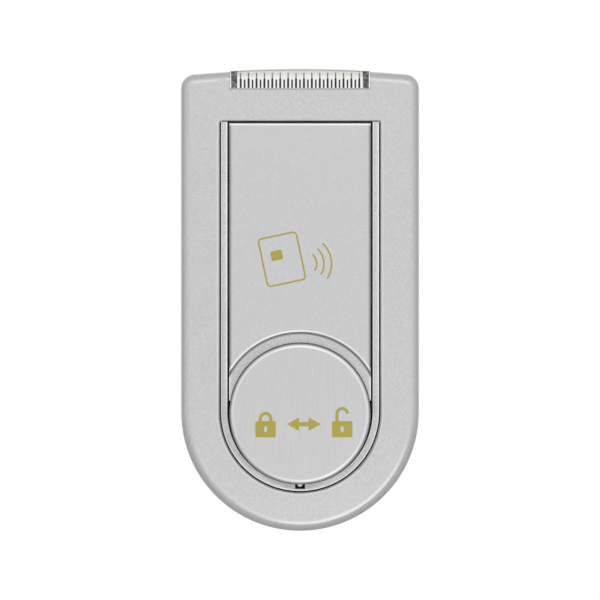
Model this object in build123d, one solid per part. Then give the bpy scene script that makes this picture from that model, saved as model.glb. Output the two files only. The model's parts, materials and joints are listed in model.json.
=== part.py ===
from build123d import *
import math
import os

# Electronic cabinet lock, in millimetres. +Z is up, +X is to the right as the user sees it, and the user
# stands on the -Y side. The origin is on the knob's axis at the face of the door. A depth is a distance in
# front of the door, so it grows towards the user, and what lies behind the door's face has a negative one.

# Fits
RUNNING = 0.05  # radial gap round a shaft that turns
SLIP = 0.1  # gap round a piece that is put in its place and stays there
PLAY = 0.2  # gap beside a piece that slides or turns past another
OVERRUN = 6.0  # how far a cut runs past what it cuts

# Housing
HALF_WIDTH = 36.9
TOP = 106.3  # height of the crown above the knob's axis
ARCH_RISE = 0.5  # of the middle of the housing's lower arcs above the knob's axis
CROWN_RADIUS = 375.0
CORNER_RADIUS = 4.5
HOUSING_DEPTH = 24.0
WALL = 2.4
DRAFT_ANGLE = 0.5
EDGE_RADIUS = 2.8
INNER_CHAMFER = 0.8

# Gasket and base plate
GASKET = 1.0
GASKET_INSET = 0.5
BASE_PLATE = 2.0
BASE_SCREW_BOSS = 2.6
BOSS_INSET = 3.7  # from the housing's inner wall to the middle of each boss
LOWER_BOSS_ANGLE = 45.0
UPPER_BOSS_DROP = 8.0  # below the crown
BASE_SCREW_SHANK = 1.2
BASE_SCREW_LENGTH = 10.0
BASE_SCREW_HEAD = 2.4
BASE_SCREW_HEAD_HEIGHT = 1.3

# Door fixings
FIXING_TO_BOSS = 10.8  # sideways from each upper boss
FIXING_DROP = 11.3  # below the crown
INSERT_RADIUS = 2.9
INSERT_BORE = 2.0
INSERT_LENGTH = 6.0
INSERT_WALL = 1.3

# Window, trim and reader cover
RIM_WIDTH = 12.1  # of the housing's face beside the window
WINDOW_DROP = 16.05  # of the window's top edge below the crown
WINDOW_CORNER = 0.8
WINDOW_EDGE = 0.7
TRIM_OUTER_GAP = 0.4  # groove between window and strip
TRIM_STRIP = 2.0
TRIM_SINK = 0.8  # of the strip's face below the housing's
TRIM_PLATE = 1.6
TRIM_OVERLAP = 2.6  # of the plate behind the window's rim
INDEX_WIDTH = 3.0
INDEX_DEPTH = 1.5
INDEX_SINK = 1.2
COVER_GROOVE = 0.55  # between strip and cover
COVER_TOP_GAP = 0.6
COVER_FOOT = 4.0  # height of the cover's lower tips above the axis
COVER_WALL = 1.5
COVER_SKIRT = 1.2
COVER_EDGE = 0.5
LEDGE_WIDTH = 3.0  # of the lower crescent
LIP = 1.4
LIP_OVERLAP = 2.1  # of the lip beyond the window
LIP_RISE = 4.4  # of the lip above the cover
EAR_RADIUS = 3.4
EAR_SHIFT = 0.45  # from the middle of the room beside the window, towards the window
LOWER_EAR_RISE = 3.5  # above the board's foot
UPPER_EAR_DROP = 5.8  # below the window's top edge
COVER_BOSS = 2.2
COVER_SCREW_SHANK = 1.1
COVER_SCREW_LENGTH = 4.0
COVER_SCREW_HEAD = 3.0
COVER_SCREW_HEAD_HEIGHT = 1.2

# Light guide
GUIDE_INSET = 0.25  # of the guide's ends from the cover's sides
GUIDE_HEIGHT = 6.2  # from its lower edge to the crown
GUIDE_PROUD = 0.1
GUIDE_DEPTH = 12.0
GUIDE_FOOT_INSET = 1.6
GUIDE_FOOT_DROP = 3.5
GUIDE_FOOT_THICKNESS = 3.0
RIB_MARGIN = 3.3  # from the guide's end to its first rib
RIB_COUNT = 31
RIB_GROOVE = 0.4
RIB_GROOVE_DEPTH = 0.5
RIB_RISE = 0.4  # of the grooves' feet above the guide's lower edge
LONG_RIB = 4.2
SHORT_RIB = 2.7

# Knob
KNOB_RIM_GAP = 0.7  # between the strip's sides and the knob's rim
KNOB_PROUD = 5.0  # of the knob's face in front of the housing's
KNOB_EDGE = 1.3
KNOB_LIFT = 0.4  # of the knob's back off the floor of its well
KNOB_GAP = 0.25  # between the knob's rim and the cover
CAP_FACE = 1.5
CAP_SKIRT = 1.2
HUB_RADIUS = 8.0
HUB_LENGTH = 4.0
KNOB_SOCKET_DEPTH = 5.0
KNOB_SCREW_SHANK = 1.5
KNOB_SCREW_LENGTH = 7.0
KNOB_SCREW_HEAD = 2.8
KNOB_SCREW_HEAD_HEIGHT = 2.0
KNOB_RIB = 1.2
KNOB_RIB_COUNT = 6
KNOB_RIM = 1.5

# Spindle, barrel and rotor
SPINDLE_RADIUS = 4.5
SQUARE_CUT = 1.0  # of each side of the square into the spindle's round
FLAT_CUT = 0.7  # of each flat that carries the rotor
BARREL_RADIUS = 9.5
BARREL_CUT = 1.4  # of each of the barrel's two flats
BARREL_END = 0.5  # of the barrel past its nut
BARREL_FLANGE = 15.0
FLANGE_THICKNESS = 1.6
BARREL_SCREW_COUNT = 3
BARREL_SCREW_SHANK = 1.0
BARREL_SCREW_HEAD = 1.9
BARREL_SCREW_HEAD_HEIGHT = 0.9
BARREL_SCREW_LENGTH = 3.2
THRUST_RADIUS = 8.5
THRUST_THICKNESS = 0.6
ROTOR_RADIUS = 13.0
ROTOR_SHARE = 1 / 6  # of the housing's depth, for the rotor's thickness
NOTCH_DEPTH = 3.4

# Nut and cam
DOOR = 18.0
NUT_WALL = 2.5  # from the barrel to each flat
NUT_THICKNESS = 4.5
NUT_CHAMFER = 0.8
CAM_THICKNESS = 2.5
CAM_HUB = 10.0
CAM_HALF = 8.0
CAM_REACH = 46.0
CAM_END_RADIUS = 3.0
CAM_WASHER = 6.5
CAM_WASHER_THICKNESS = 1.0
CAM_SCREW_SHANK = 2.5
CAM_SCREW_LENGTH = 10.0
CAM_SCREW_HEAD = 4.4
CAM_SCREW_HEAD_HEIGHT = 2.8

# Blocker, pinion and motor
BLOCKER_WIDTH = 5.0
BLOCKER_TAIL = 2.4  # past the rack
BLOCKER_REST_GAP = 0.6  # from the rotor
BLOCKER_SET_BACK = 0.5  # from both faces of the rotor
MODULE = 0.5
PINION_TEETH = 10
PINION_WIDTH = 4.0
MESH_PLAY = 0.1
TOOTH_TIP_SHARE = 0.24  # of the pitch
TOOTH_ROOT_SHARE = 0.6
RACK_TEETH = 8
RACK_START = 5.0  # from the blocker's tip
PINION_RISE = 9.1  # of the pinion above the guide's lower end
SHAFT_RADIUS = 1.0
SHAFT_LENGTH = 9.0
GEARBOX_START = 4.6  # from the middle of the pinion
GEARBOX_LENGTH = 9.0
MOTOR_END_GAP = 5.5  # from the can's end to the housing's inner wall
MOTOR_WIDTH = 12.0
MOTOR_END_RADIUS = 2.5
MOTOR_BOSS = 1.3  # of the bearing past the can's end
GUIDE_RAIL_WIDTH = 1.6
GUIDE_RAIL_HEIGHT = 2.2
GUIDE_BASE_HALF = 8.0
GUIDE_END_RISE = 4.9  # above the gearbox
GUIDE_ROOF = 1.0
GUIDE_ROOF_LENGTH = 2.2
GUIDE_ROOF_RISE = 4.6  # of the upper roof above the pinion's axis
GUIDE_SCREW_INSET = 1.8
SMALL_SHANK = 0.9
SMALL_HEAD = 1.5
SMALL_HEAD_HEIGHT = 0.9
CLAMP_WALL = 0.9
CLAMP_SHARE = 0.5  # of the can's length, for the clamp's width
CLAMP_FOOT = 4.4
SEAT_INSET = 1.0

# Control board; what stands on it has its place as a share of its half width and a rise above its foot
BOARD_GAP = 1.0
BOARD = 1.6
BOARD_SIDE_GAP = 9.5  # from the housing's inner wall
BOARD_FOOT_GAP = 0.65  # above the motor's clamp
BOARD_TOP_GAP = 0.7  # below the light guide's foot
BOARD_POST = 2.0
BOARD_POST_INSET = 7.0
LOWER_POST_RISE = 2.5  # above the board's foot
UPPER_POST_RISE = 2.7  # above the cover's top
BOARD_SCREW_SHANK = 0.8
BOARD_SCREW_LENGTH = 3.6
CHIP_HEIGHT = 0.9
CHIPS = ((0.4, 19.5, 7.0), (-0.4, 22.5, 5.0), (0.36, 5.5, 4.0))
CRYSTAL_PLACE = (0.44, 28.5)
CRYSTAL_SIZE = (3.2, 1.5)
CAPACITOR_PLACES = ((-0.48, 33.5), (-0.26, 33.5))
CAPACITOR_RADIUS = 2.0
PART_HEIGHT = 3.0
PLUG_PLACE = (0.0, 5.5)
PLUG_SIZE = (6.0, 4.0)
BUZZER_PLACE = (-0.44, 8.5)
BUZZER_RADIUS = 4.5
BUZZER_HOLE = 0.8
LED_SPACING = 12.0
LED_COUNT = 3
LED_SIZE = (3.0, 1.4)
LED_HEIGHT = 0.8
COIL_SIDE_GAP = 5.65  # from the inside of the cover
COIL_TOP_GAP = 6.2  # below the cover's top
COIL_FOOT_GAP = 20.3  # above the cover's concave edge
COIL_BAND = 2.2
COIL_THICKNESS = 0.8
COIL_CORNER = 4.0

# Battery; the cells fill the room between the board and the base plate, which suits size AAA
CELL_SHARE = 0.82  # of the room between the tray's floor and the base plate, for the cells' diameter
CELL_GAP = 0.7  # between neighbours
CELL_EDGE = 0.5
NUB_RADIUS = 1.9
NUB_HEIGHT = 0.9
CELL_COUNT = 4
SPRING_SPACE = 2.7
SPRING_WIRE = 0.25
SPRING_SHARE = 0.75  # of half a plate, for the spring's radius
SPRING_TURNS = 2.0
PLATE_THICKNESS = 0.4
PLATE_SHARE = 0.76  # of the cell's radius
TRAY_WALL = 1.3
TRAY_FLOOR = 1.2
TRAY_EAR = 3.0
TRAY_EAR_GAP = 1.0
TRAY_TOP_GAP = 0.8  # below the heads of the board's upper screws
DIVIDER = 0.5
DIVIDER_HEIGHT = 4.0

# Levels, from the door's face outwards
RIM = GASKET
FRONT = RIM + HOUSING_DEPTH
INNER_FACE = FRONT - WALL
TRIM_BACK = INNER_FACE - TRIM_PLATE
TRIM_FACE = FRONT - TRIM_SINK
LIP_BACK = TRIM_BACK - LIP
BOARD_FRONT = LIP_BACK - BOARD_GAP
BOARD_BACK = BOARD_FRONT - BOARD
BASE_FRONT = RIM + BASE_PLATE
FLANGE_FRONT = BASE_FRONT + FLANGE_THICKNESS
THRUST_FRONT = FLANGE_FRONT + THRUST_THICKNESS
ROTOR_BACK = THRUST_FRONT + SLIP
ROTOR_THICKNESS = HOUSING_DEPTH * ROTOR_SHARE
ROTOR_FRONT = ROTOR_BACK + ROTOR_THICKNESS
KNOB_BACK = INNER_FACE + KNOB_LIFT
KNOB_FRONT = FRONT + KNOB_PROUD
HUB_BACK = KNOB_BACK - HUB_LENGTH
BARREL_LENGTH = DOOR + NUT_THICKNESS + BARREL_END
CAM_FRONT = -BARREL_LENGTH - PLAY
CAM_BACK = CAM_FRONT - CAM_THICKNESS
CAM_WASHER_BACK = CAM_BACK - CAM_WASHER_THICKNESS

# Blocker, pinion and motor, worked out from the rotor, the barrel's flange and the housing's wall
INNER_HALF = HALF_WIDTH - WALL
PITCH = math.pi * MODULE
PITCH_RADIUS = MODULE * PINION_TEETH / 2
BLOCKER_BACK = ROTOR_BACK + BLOCKER_SET_BACK
BLOCKER_FRONT = ROTOR_FRONT - BLOCKER_SET_BACK
BLOCKER_TIP = ROTOR_RADIUS + BLOCKER_REST_GAP
BLOCKER_LENGTH = RACK_START + RACK_TEETH * PITCH + BLOCKER_TAIL
CHANNEL_FLOOR = BLOCKER_BACK - SLIP
GUIDE_START = BARREL_FLANGE + PLAY + BLOCKER_REST_GAP
PINION_HEIGHT = GUIDE_START + PINION_RISE
PINION_DEPTH = BLOCKER_FRONT - MODULE + PITCH_RADIUS + MESH_PLAY
GUIDE_END = PINION_HEIGHT + MOTOR_WIDTH / 2 + GUIDE_END_RISE
MOTOR_BACK = CHANNEL_FLOOR + PLAY
MOTOR_THICKNESS = 2 * (PINION_DEPTH - MOTOR_BACK)
MOTOR_FRONT = MOTOR_BACK + MOTOR_THICKNESS
CAN_START = GEARBOX_START + GEARBOX_LENGTH
MOTOR_LENGTH = INNER_HALF - MOTOR_END_GAP - CAN_START
CLAMP_WIDTH = MOTOR_LENGTH * CLAMP_SHARE
CLAMP_START = CAN_START + (MOTOR_LENGTH - CLAMP_WIDTH) / 2
CLAMP_TOP = PINION_HEIGHT + MOTOR_WIDTH / 2 + RUNNING + CLAMP_WALL

# Window, trim, cover, knob and light guide, worked out from the housing
WINDOW_HALF = HALF_WIDTH - RIM_WIDTH
WINDOW_TOP = TOP - WINDOW_DROP
STRIP_OUTER = WINDOW_HALF - TRIM_OUTER_GAP
STRIP_INNER = STRIP_OUTER - TRIM_STRIP
COVER_HALF = STRIP_INNER - COVER_GROOVE
COVER_TOP = WINDOW_TOP - COVER_TOP_GAP
KNOB_RADIUS = STRIP_INNER - KNOB_RIM_GAP
COVER_ARC = KNOB_RADIUS + KNOB_GAP
RAISED_ARC = COVER_ARC + LEDGE_WIDTH
GUIDE_HALF = COVER_HALF - GUIDE_INSET
GUIDE_EDGE = TOP - GUIDE_HEIGHT
RIB_PITCH = 2 * (GUIDE_HALF - RIB_MARGIN) / (RIB_COUNT - 1)

# Board, and the places of posts, ears and screws
BOARD_HALF = INNER_HALF - BOARD_SIDE_GAP
BOARD_FOOT = CLAMP_TOP + BOARD_FOOT_GAP
BOARD_TOP = GUIDE_EDGE - GUIDE_FOOT_DROP - BOARD_TOP_GAP
BOARD_POST_X = BOARD_HALF - BOARD_POST_INSET
LOWER_POST_HEIGHT = BOARD_FOOT + LOWER_POST_RISE
UPPER_POST_HEIGHT = COVER_TOP + UPPER_POST_RISE
LOWER_POSTS = [(-BOARD_POST_X, LOWER_POST_HEIGHT), (BOARD_POST_X, LOWER_POST_HEIGHT)]
UPPER_POSTS = [(-BOARD_POST_X, UPPER_POST_HEIGHT), (BOARD_POST_X, UPPER_POST_HEIGHT)]
EAR_REACH = (WINDOW_HALF + INNER_HALF) / 2 - EAR_SHIFT
EAR_HEIGHTS = (BOARD_FOOT + LOWER_EAR_RISE, WINDOW_TOP - UPPER_EAR_DROP)
EARS = [(side * EAR_REACH, height) for side in (-1, 1) for height in EAR_HEIGHTS]
TRIM_SCREW = (0, ARCH_RISE - EAR_REACH)
BOSS_REACH = INNER_HALF - BOSS_INSET
LOWER_BOSS_X = BOSS_REACH * math.sin(math.radians(LOWER_BOSS_ANGLE))
LOWER_BOSS_Z = ARCH_RISE - BOSS_REACH * math.cos(math.radians(LOWER_BOSS_ANGLE))
BASE_BOSSES = [
    (-LOWER_BOSS_X, LOWER_BOSS_Z),
    (LOWER_BOSS_X, LOWER_BOSS_Z),
    (-BOSS_REACH, TOP - UPPER_BOSS_DROP),
    (BOSS_REACH, TOP - UPPER_BOSS_DROP),
]
FIXING_X = BOSS_REACH - FIXING_TO_BOSS
FIXINGS = [(-FIXING_X, TOP - FIXING_DROP), (FIXING_X, TOP - FIXING_DROP)]
BARREL_SCREW_CIRCLE = (BARREL_RADIUS + BARREL_FLANGE) / 2

# Battery places, worked out from the board and its posts
CELL_RADIUS = (BOARD_BACK - TRAY_FLOOR - BASE_FRONT) / 2 * CELL_SHARE
CELL_DEPTH = BOARD_BACK - TRAY_FLOOR - CELL_RADIUS - RUNNING
CELL_PITCH = 2 * CELL_RADIUS + CELL_GAP
CELL_PLACES = [(index - (CELL_COUNT - 1) / 2) * CELL_PITCH for index in range(CELL_COUNT)]
PLATE_HALF = CELL_RADIUS * PLATE_SHARE
TRAY_INNER_HALF = CELL_PITCH * CELL_COUNT / 2
TRAY_FOOT = LOWER_POST_HEIGHT + TRAY_EAR + TRAY_EAR_GAP
TRAY_TOP = UPPER_POST_HEIGHT - SMALL_HEAD - TRAY_TOP_GAP
TRAY_INNER_FOOT = TRAY_FOOT + TRAY_WALL
TRAY_INNER_TOP = TRAY_TOP - TRAY_WALL
CONTACT_FOOT = TRAY_INNER_FOOT + PLATE_THICKNESS
CONTACT_TOP = TRAY_INNER_TOP - PLATE_THICKNESS
CELL_LENGTH = CONTACT_TOP - CONTACT_FOOT - SPRING_SPACE
CELL_BODY = CELL_LENGTH - NUB_HEIGHT


def level(depth):
    """The plane that faces the user at this depth."""
    return Plane.XZ.offset(depth)


def slab(outline, back, front):
    """A flat piece of this outline between two depths."""
    return extrude(level(back) * outline, front - back)


def block(x0, x1, z0, z1, back, front):
    """A box between two places across, two heights and two depths."""
    outline = Pos((x0 + x1) / 2, (z0 + z1) / 2) * Rectangle(x1 - x0, z1 - z0)
    return slab(outline, back, front)


def posts(places, radius, back, front):
    """A round post at each place, all between the same two depths."""
    return Part() + [slab(Pos(*place) * Circle(radius), back, front) for place in places]


def along_x(outline, x0, x1, depth, height):
    """A piece of this outline that runs across the lock."""
    return extrude(Plane.YZ.offset(x0) * Pos(-depth, height) * outline, x1 - x0)


def upright(outline, x, depth, z0, z1):
    """A piece of this outline that stands along Z."""
    return extrude(Plane.XY.offset(z0) * Pos(x, -depth) * outline, z1 - z0)


def arch(inset):
    """The housing's outline, drawn in by inset all round."""
    half = HALF_WIDTH - inset
    top = TOP - inset
    crown = CROWN_RADIUS - inset
    shoulder = top - crown + math.sqrt(crown**2 - half**2)
    edge = Line((half, ARCH_RISE), (half, shoulder))
    edge += ThreePointArc((half, shoulder), (0, top), (-half, shoulder))
    edge += Line((-half, shoulder), (-half, ARCH_RISE))
    edge += ThreePointArc((-half, ARCH_RISE), (0, ARCH_RISE - half), (half, ARCH_RISE))
    face = make_face(edge)
    corners = face.vertices().sort_by(Axis.Y)[-2:]
    return fillet(corners, max(CORNER_RADIUS - inset, RUNNING))


def u_shape(half, top):
    """Straight sides and a flat top over a half circle that shares the housing's lower middle."""
    sides = Pos(0, (ARCH_RISE + top) / 2) * Rectangle(2 * half, top - ARCH_RISE)
    return Pos(0, ARCH_RISE) * Circle(half) + sides


def window(grow):
    """The housing's window, with its rounded upper corners."""
    shape = u_shape(WINDOW_HALF + grow, WINDOW_TOP + grow)
    return fillet(shape.vertices().sort_by(Axis.Y)[-2:], WINDOW_CORNER)


def cover_shape(grow, arc):
    """The cover's outline: a rectangle hollowed below by an arc round the knob."""
    half = COVER_HALF + grow
    foot = COVER_FOOT - grow
    top = COVER_TOP + grow
    return Pos(0, (foot + top) / 2) * Rectangle(2 * half, top - foot) - Circle(arc)


def cross(radius, width):
    """The outline of a cross recess."""
    return Rectangle(2 * radius, width) + Rectangle(width, 2 * radius)


def pan_screws(places, seat, shank, length, head, head_height):
    """Screws driven towards the user, with the heads' undersides on the seat."""
    heads = posts(places, head, seat - head_height, seat)
    shanks = posts(places, shank, seat, seat + length)
    recess = cross(head / 2, head / 5)
    cuts = [slab(Pos(*place) * recess, seat - head_height, seat - head_height / 2) for place in places]
    return heads + shanks - cuts


def flat_screw(place, face, shank, length, head, head_height, way):
    """A countersunk screw with its flat head at face; way is 1 when its tip points to the user."""
    cone = Solid.make_cone(head, shank, head_height, level(face))
    if way < 0:
        cone = Solid.make_cone(shank, head, head_height, level(face - head_height))
    shaft_end = face + way * length
    body = slab(Circle(shank), min(face, shaft_end), max(face, shaft_end))
    recess = slab(cross(head / 2, head / 5), min(face, face + way * head_height / 2),
                  max(face, face + way * head_height / 2))
    return Pos(place[0], 0, place[1]) * (Part() + cone + body - recess)


def front_housing():
    shell = extrude(level(RIM) * arch(0), HOUSING_DEPTH, taper=DRAFT_ANGLE)
    shell = fillet(shell.faces().sort_by(Axis.Y)[0].edges(), EDGE_RADIUS)
    cavity = extrude(level(RIM) * arch(WALL), HOUSING_DEPTH - WALL, taper=DRAFT_ANGLE)
    shell -= chamfer(cavity.faces().sort_by(Axis.Y)[0].edges(), INNER_CHAMFER)
    shell -= slab(window(0), INNER_FACE - OVERRUN, FRONT + OVERRUN)
    rim = shell.faces().sort_by(Axis.Y)[0].inner_wires()[0].edges()
    shell = fillet(rim, WINDOW_EDGE)
    slot_half = GUIDE_HALF + SLIP
    slot_back = FRONT - GUIDE_DEPTH - SLIP
    shell -= block(-slot_half, slot_half, GUIDE_EDGE - SLIP, TOP + OVERRUN, slot_back, FRONT + OVERRUN)
    shell += posts(BASE_BOSSES, BASE_SCREW_BOSS, BASE_FRONT, INNER_FACE)
    pilot_end = RIM + BASE_SCREW_LENGTH + PLAY
    shell -= posts(BASE_BOSSES, BASE_SCREW_SHANK + RUNNING, BASE_FRONT, pilot_end)
    shell += posts(EARS, COVER_BOSS, LIP_BACK + SLIP, INNER_FACE)
    shell += posts([TRIM_SCREW], COVER_BOSS, TRIM_BACK + SLIP, INNER_FACE)
    pilot = COVER_SCREW_SHANK + RUNNING
    shell -= posts(EARS, pilot, LIP_BACK, LIP_BACK + COVER_SCREW_LENGTH + SLIP)
    shell -= posts([TRIM_SCREW], pilot, TRIM_BACK, TRIM_BACK + COVER_SCREW_LENGTH - WALL / 2 + SLIP)
    return shell


def ears():
    """The outline of the four screw ears that trim and cover share."""
    shape = Sketch()
    for x, z in EARS:
        inward = math.copysign(EAR_REACH - COVER_HALF, x)
        shape += Pos(x, z) * Circle(EAR_RADIUS)
        shape += Pos(x - inward / 2, z) * Rectangle(abs(inward), 2 * EAR_RADIUS)
    return shape


def window_trim():
    plate = window(TRIM_OVERLAP) + ears() + Pos(*TRIM_SCREW) * Circle(EAR_RADIUS)
    plate -= cover_shape(SLIP, COVER_ARC - SLIP)
    plate -= [Pos(*place) * Circle(BASE_SCREW_BOSS + PLAY) for place in BASE_BOSSES]
    trim = slab(plate, TRIM_BACK, INNER_FACE)
    strip = u_shape(STRIP_OUTER, COVER_TOP) - u_shape(STRIP_INNER, COVER_TOP + OVERRUN)
    trim += slab(strip, INNER_FACE, TRIM_FACE)
    trim -= posts([(0, 0)], HUB_RADIUS + RUNNING, TRIM_BACK - OVERRUN, INNER_FACE + OVERRUN)
    holes = EARS + [TRIM_SCREW]
    trim -= posts(holes, COVER_BOSS + SLIP, TRIM_BACK - OVERRUN, INNER_FACE + OVERRUN)
    half = INDEX_WIDTH / 2
    foot = ARCH_RISE - STRIP_INNER - INDEX_DEPTH
    trim -= block(-half, half, foot, -KNOB_RADIUS, TRIM_FACE - INDEX_SINK, TRIM_FACE + OVERRUN)
    return trim


def reader_cover():
    cover = slab(cover_shape(0, COVER_ARC), LIP_BACK, TRIM_FACE)
    raised = slab(cover_shape(0, RAISED_ARC), LIP_BACK, FRONT)
    cover += raised
    cover = fillet(cover.faces().sort_by(Axis.Y)[0].edges(), COVER_EDGE)
    lip_half = WINDOW_HALF + LIP_OVERLAP
    lip_top = COVER_TOP + LIP_RISE
    cover += block(-lip_half, lip_half, BOARD_FOOT, lip_top, LIP_BACK, TRIM_BACK)
    cover += slab(ears(), LIP_BACK, TRIM_BACK)
    hollow_arc = COVER_ARC + COVER_SKIRT
    raised_arc = RAISED_ARC + COVER_SKIRT
    cover -= slab(cover_shape(-COVER_SKIRT, hollow_arc), LIP_BACK - OVERRUN, TRIM_FACE - COVER_WALL)
    cover -= slab(cover_shape(-COVER_SKIRT, raised_arc), LIP_BACK - OVERRUN, FRONT - COVER_WALL)
    cover -= slab(Circle(hollow_arc), LIP_BACK - OVERRUN, TRIM_BACK)
    cover -= posts(EARS, COVER_BOSS + SLIP, LIP_BACK - OVERRUN, TRIM_BACK + OVERRUN)
    cover += posts(LOWER_POSTS, BOARD_POST, BOARD_FRONT, FRONT - COVER_WALL)
    cover += posts(UPPER_POSTS, BOARD_POST, BOARD_FRONT, LIP_BACK)
    pilot = BOARD_SCREW_SHANK + RUNNING
    pilot_end = BOARD_BACK + BOARD_SCREW_LENGTH + SLIP
    return cover - posts(LOWER_POSTS + UPPER_POSTS, pilot, BOARD_FRONT - SLIP, pilot_end)


def light_guide():
    crown = Pos(0, TOP - CROWN_RADIUS) * Circle(CROWN_RADIUS + GUIDE_PROUD)
    bar = Pos(0, GUIDE_EDGE + GUIDE_HEIGHT) * Rectangle(2 * GUIDE_HALF, 2 * GUIDE_HEIGHT) & crown
    guide = slab(bar, FRONT - GUIDE_DEPTH, FRONT)
    top_edge = guide.faces().sort_by(Axis.Y)[0].edges().sort_by(Axis.Z)[-1]
    guide = fillet(top_edge, EDGE_RADIUS)
    foot_front = BOARD_FRONT + LED_HEIGHT / 2 + GUIDE_FOOT_THICKNESS / 2
    foot_back = foot_front - GUIDE_FOOT_THICKNESS
    foot_end = GUIDE_EDGE - GUIDE_FOOT_DROP
    foot_half = GUIDE_HALF - GUIDE_FOOT_INSET
    guide += block(-foot_half, foot_half, foot_end, GUIDE_EDGE, foot_back, foot_front)
    foot = GUIDE_EDGE + RIB_RISE
    floor = FRONT - RIB_GROOVE_DEPTH
    for index in range(RIB_COUNT):
        left = (index - (RIB_COUNT - 1) / 2) * RIB_PITCH - RIB_GROOVE / 2
        height = SHORT_RIB if index % 2 else LONG_RIB
        guide -= block(left, left + RIB_GROOVE, foot, foot + height, floor, FRONT + OVERRUN)
    return guide


def cover_screws():
    upper = pan_screws(EARS, LIP_BACK, COVER_SCREW_SHANK, COVER_SCREW_LENGTH, COVER_SCREW_HEAD,
                       COVER_SCREW_HEAD_HEIGHT)
    lower = pan_screws([TRIM_SCREW], TRIM_BACK, COVER_SCREW_SHANK, COVER_SCREW_LENGTH - WALL / 2,
                       COVER_SCREW_HEAD, COVER_SCREW_HEAD_HEIGHT)
    return upper + lower


def knob_cap():
    cap = slab(Circle(KNOB_RADIUS), KNOB_BACK + PLAY, KNOB_FRONT)
    cap = fillet(cap.faces().sort_by(Axis.Y)[0].edges(), KNOB_EDGE)
    return cap - slab(Circle(KNOB_RADIUS - CAP_SKIRT), KNOB_BACK - OVERRUN, KNOB_FRONT - CAP_FACE)


def spindle_square(grow):
    """The spindle's squared section, with its corners turned down to the spindle's own radius."""
    side = 2 * (SPINDLE_RADIUS - SQUARE_CUT + grow)
    return Rectangle(side, side) & Circle(SPINDLE_RADIUS + grow)


def spindle_flats(grow):
    """The spindle's two-flat section that carries the rotor."""
    across = 2 * (SPINDLE_RADIUS - FLAT_CUT + grow)
    return Rectangle(across + OVERRUN, across) & Circle(SPINDLE_RADIUS + grow)


def knob_body():
    inner_front = KNOB_FRONT - CAP_FACE
    seat = inner_front - KNOB_SCREW_HEAD_HEIGHT - PLAY
    outer = KNOB_RADIUS - CAP_SKIRT - SLIP
    body = slab(Circle(outer), KNOB_BACK, inner_front)
    floor = KNOB_BACK + KNOB_RIM
    body -= slab(Circle(outer - KNOB_RIM) - Circle(HUB_RADIUS), floor, inner_front + OVERRUN)
    web = Pos((outer + HUB_RADIUS) / 2 - KNOB_RIM / 2, 0) * Rectangle(outer - HUB_RADIUS, KNOB_RIB)
    for index in range(KNOB_RIB_COUNT):
        body += slab(Rot(0, 0, index * 360 / KNOB_RIB_COUNT) * web, floor, inner_front)
    body += slab(Circle(HUB_RADIUS), HUB_BACK, KNOB_BACK)
    body -= slab(spindle_square(SLIP), HUB_BACK - OVERRUN, HUB_BACK + KNOB_SOCKET_DEPTH + SLIP)
    body -= posts([(0, 0)], KNOB_SCREW_SHANK + SLIP, HUB_BACK, inner_front + OVERRUN)
    return body - posts([(0, 0)], KNOB_SCREW_HEAD + SLIP, seat, inner_front + OVERRUN)


def knob_screw():
    seat = KNOB_FRONT - CAP_FACE - KNOB_SCREW_HEAD_HEIGHT - PLAY
    screw = posts([(0, 0)], KNOB_SCREW_HEAD, seat, seat + KNOB_SCREW_HEAD_HEIGHT)
    screw += posts([(0, 0)], KNOB_SCREW_SHANK, seat - KNOB_SCREW_LENGTH, seat)
    recess = cross(KNOB_SCREW_HEAD / 2, KNOB_SCREW_HEAD / 5)
    return screw - slab(recess, seat + KNOB_SCREW_HEAD_HEIGHT / 2, seat + OVERRUN)


def spindle():
    shaft = slab(spindle_square(0), HUB_BACK, HUB_BACK + KNOB_SOCKET_DEPTH)
    shaft += slab(spindle_flats(0), ROTOR_BACK, HUB_BACK)
    shaft += slab(Circle(SPINDLE_RADIUS), CAM_FRONT, ROTOR_BACK)
    shaft += slab(spindle_square(0), CAM_BACK + SLIP, CAM_FRONT)
    tap_end = CAM_BACK + CAM_SCREW_LENGTH
    shaft -= posts([(0, 0)], CAM_SCREW_SHANK + RUNNING, CAM_BACK - OVERRUN, tap_end)
    screw_tip = KNOB_FRONT - CAP_FACE - KNOB_SCREW_HEAD_HEIGHT - PLAY - KNOB_SCREW_LENGTH
    return shaft - posts([(0, 0)], KNOB_SCREW_SHANK + RUNNING, screw_tip - PLAY, KNOB_FRONT)


def rotor():
    disc = slab(Circle(ROTOR_RADIUS), ROTOR_BACK, ROTOR_FRONT)
    disc -= slab(spindle_flats(RUNNING), ROTOR_BACK - OVERRUN, ROTOR_FRONT + OVERRUN)
    half = BLOCKER_WIDTH / 2 + PLAY
    notch = Pos(0, ROTOR_RADIUS) * Rectangle(2 * half, 2 * NOTCH_DEPTH)
    for turn in (0, 90):
        disc -= slab(Rot(0, 0, turn) * notch, ROTOR_BACK - OVERRUN, ROTOR_FRONT + OVERRUN)
    return disc


def barrel():
    tube = slab(Circle(BARREL_FLANGE), BASE_FRONT, FLANGE_FRONT)
    across = 2 * (BARREL_RADIUS - BARREL_CUT)
    section = Rectangle(across + OVERRUN, across) & Circle(BARREL_RADIUS)
    tube += slab(section, -BARREL_LENGTH, BASE_FRONT)
    tube -= posts([(0, 0)], SPINDLE_RADIUS + RUNNING, -BARREL_LENGTH - OVERRUN, FLANGE_FRONT + OVERRUN)
    head_back = level(FLANGE_FRONT - BARREL_SCREW_HEAD_HEIGHT)
    narrow = BARREL_SCREW_SHANK + SLIP
    wide = BARREL_SCREW_HEAD + SLIP
    for place in barrel_screw_places():
        sunk = Solid.make_cone(narrow, wide, BARREL_SCREW_HEAD_HEIGHT, head_back)
        tube -= Pos(place[0], 0, place[1]) * sunk
        tube -= posts([place], narrow, BASE_FRONT - OVERRUN, FLANGE_FRONT)
    return tube


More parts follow.
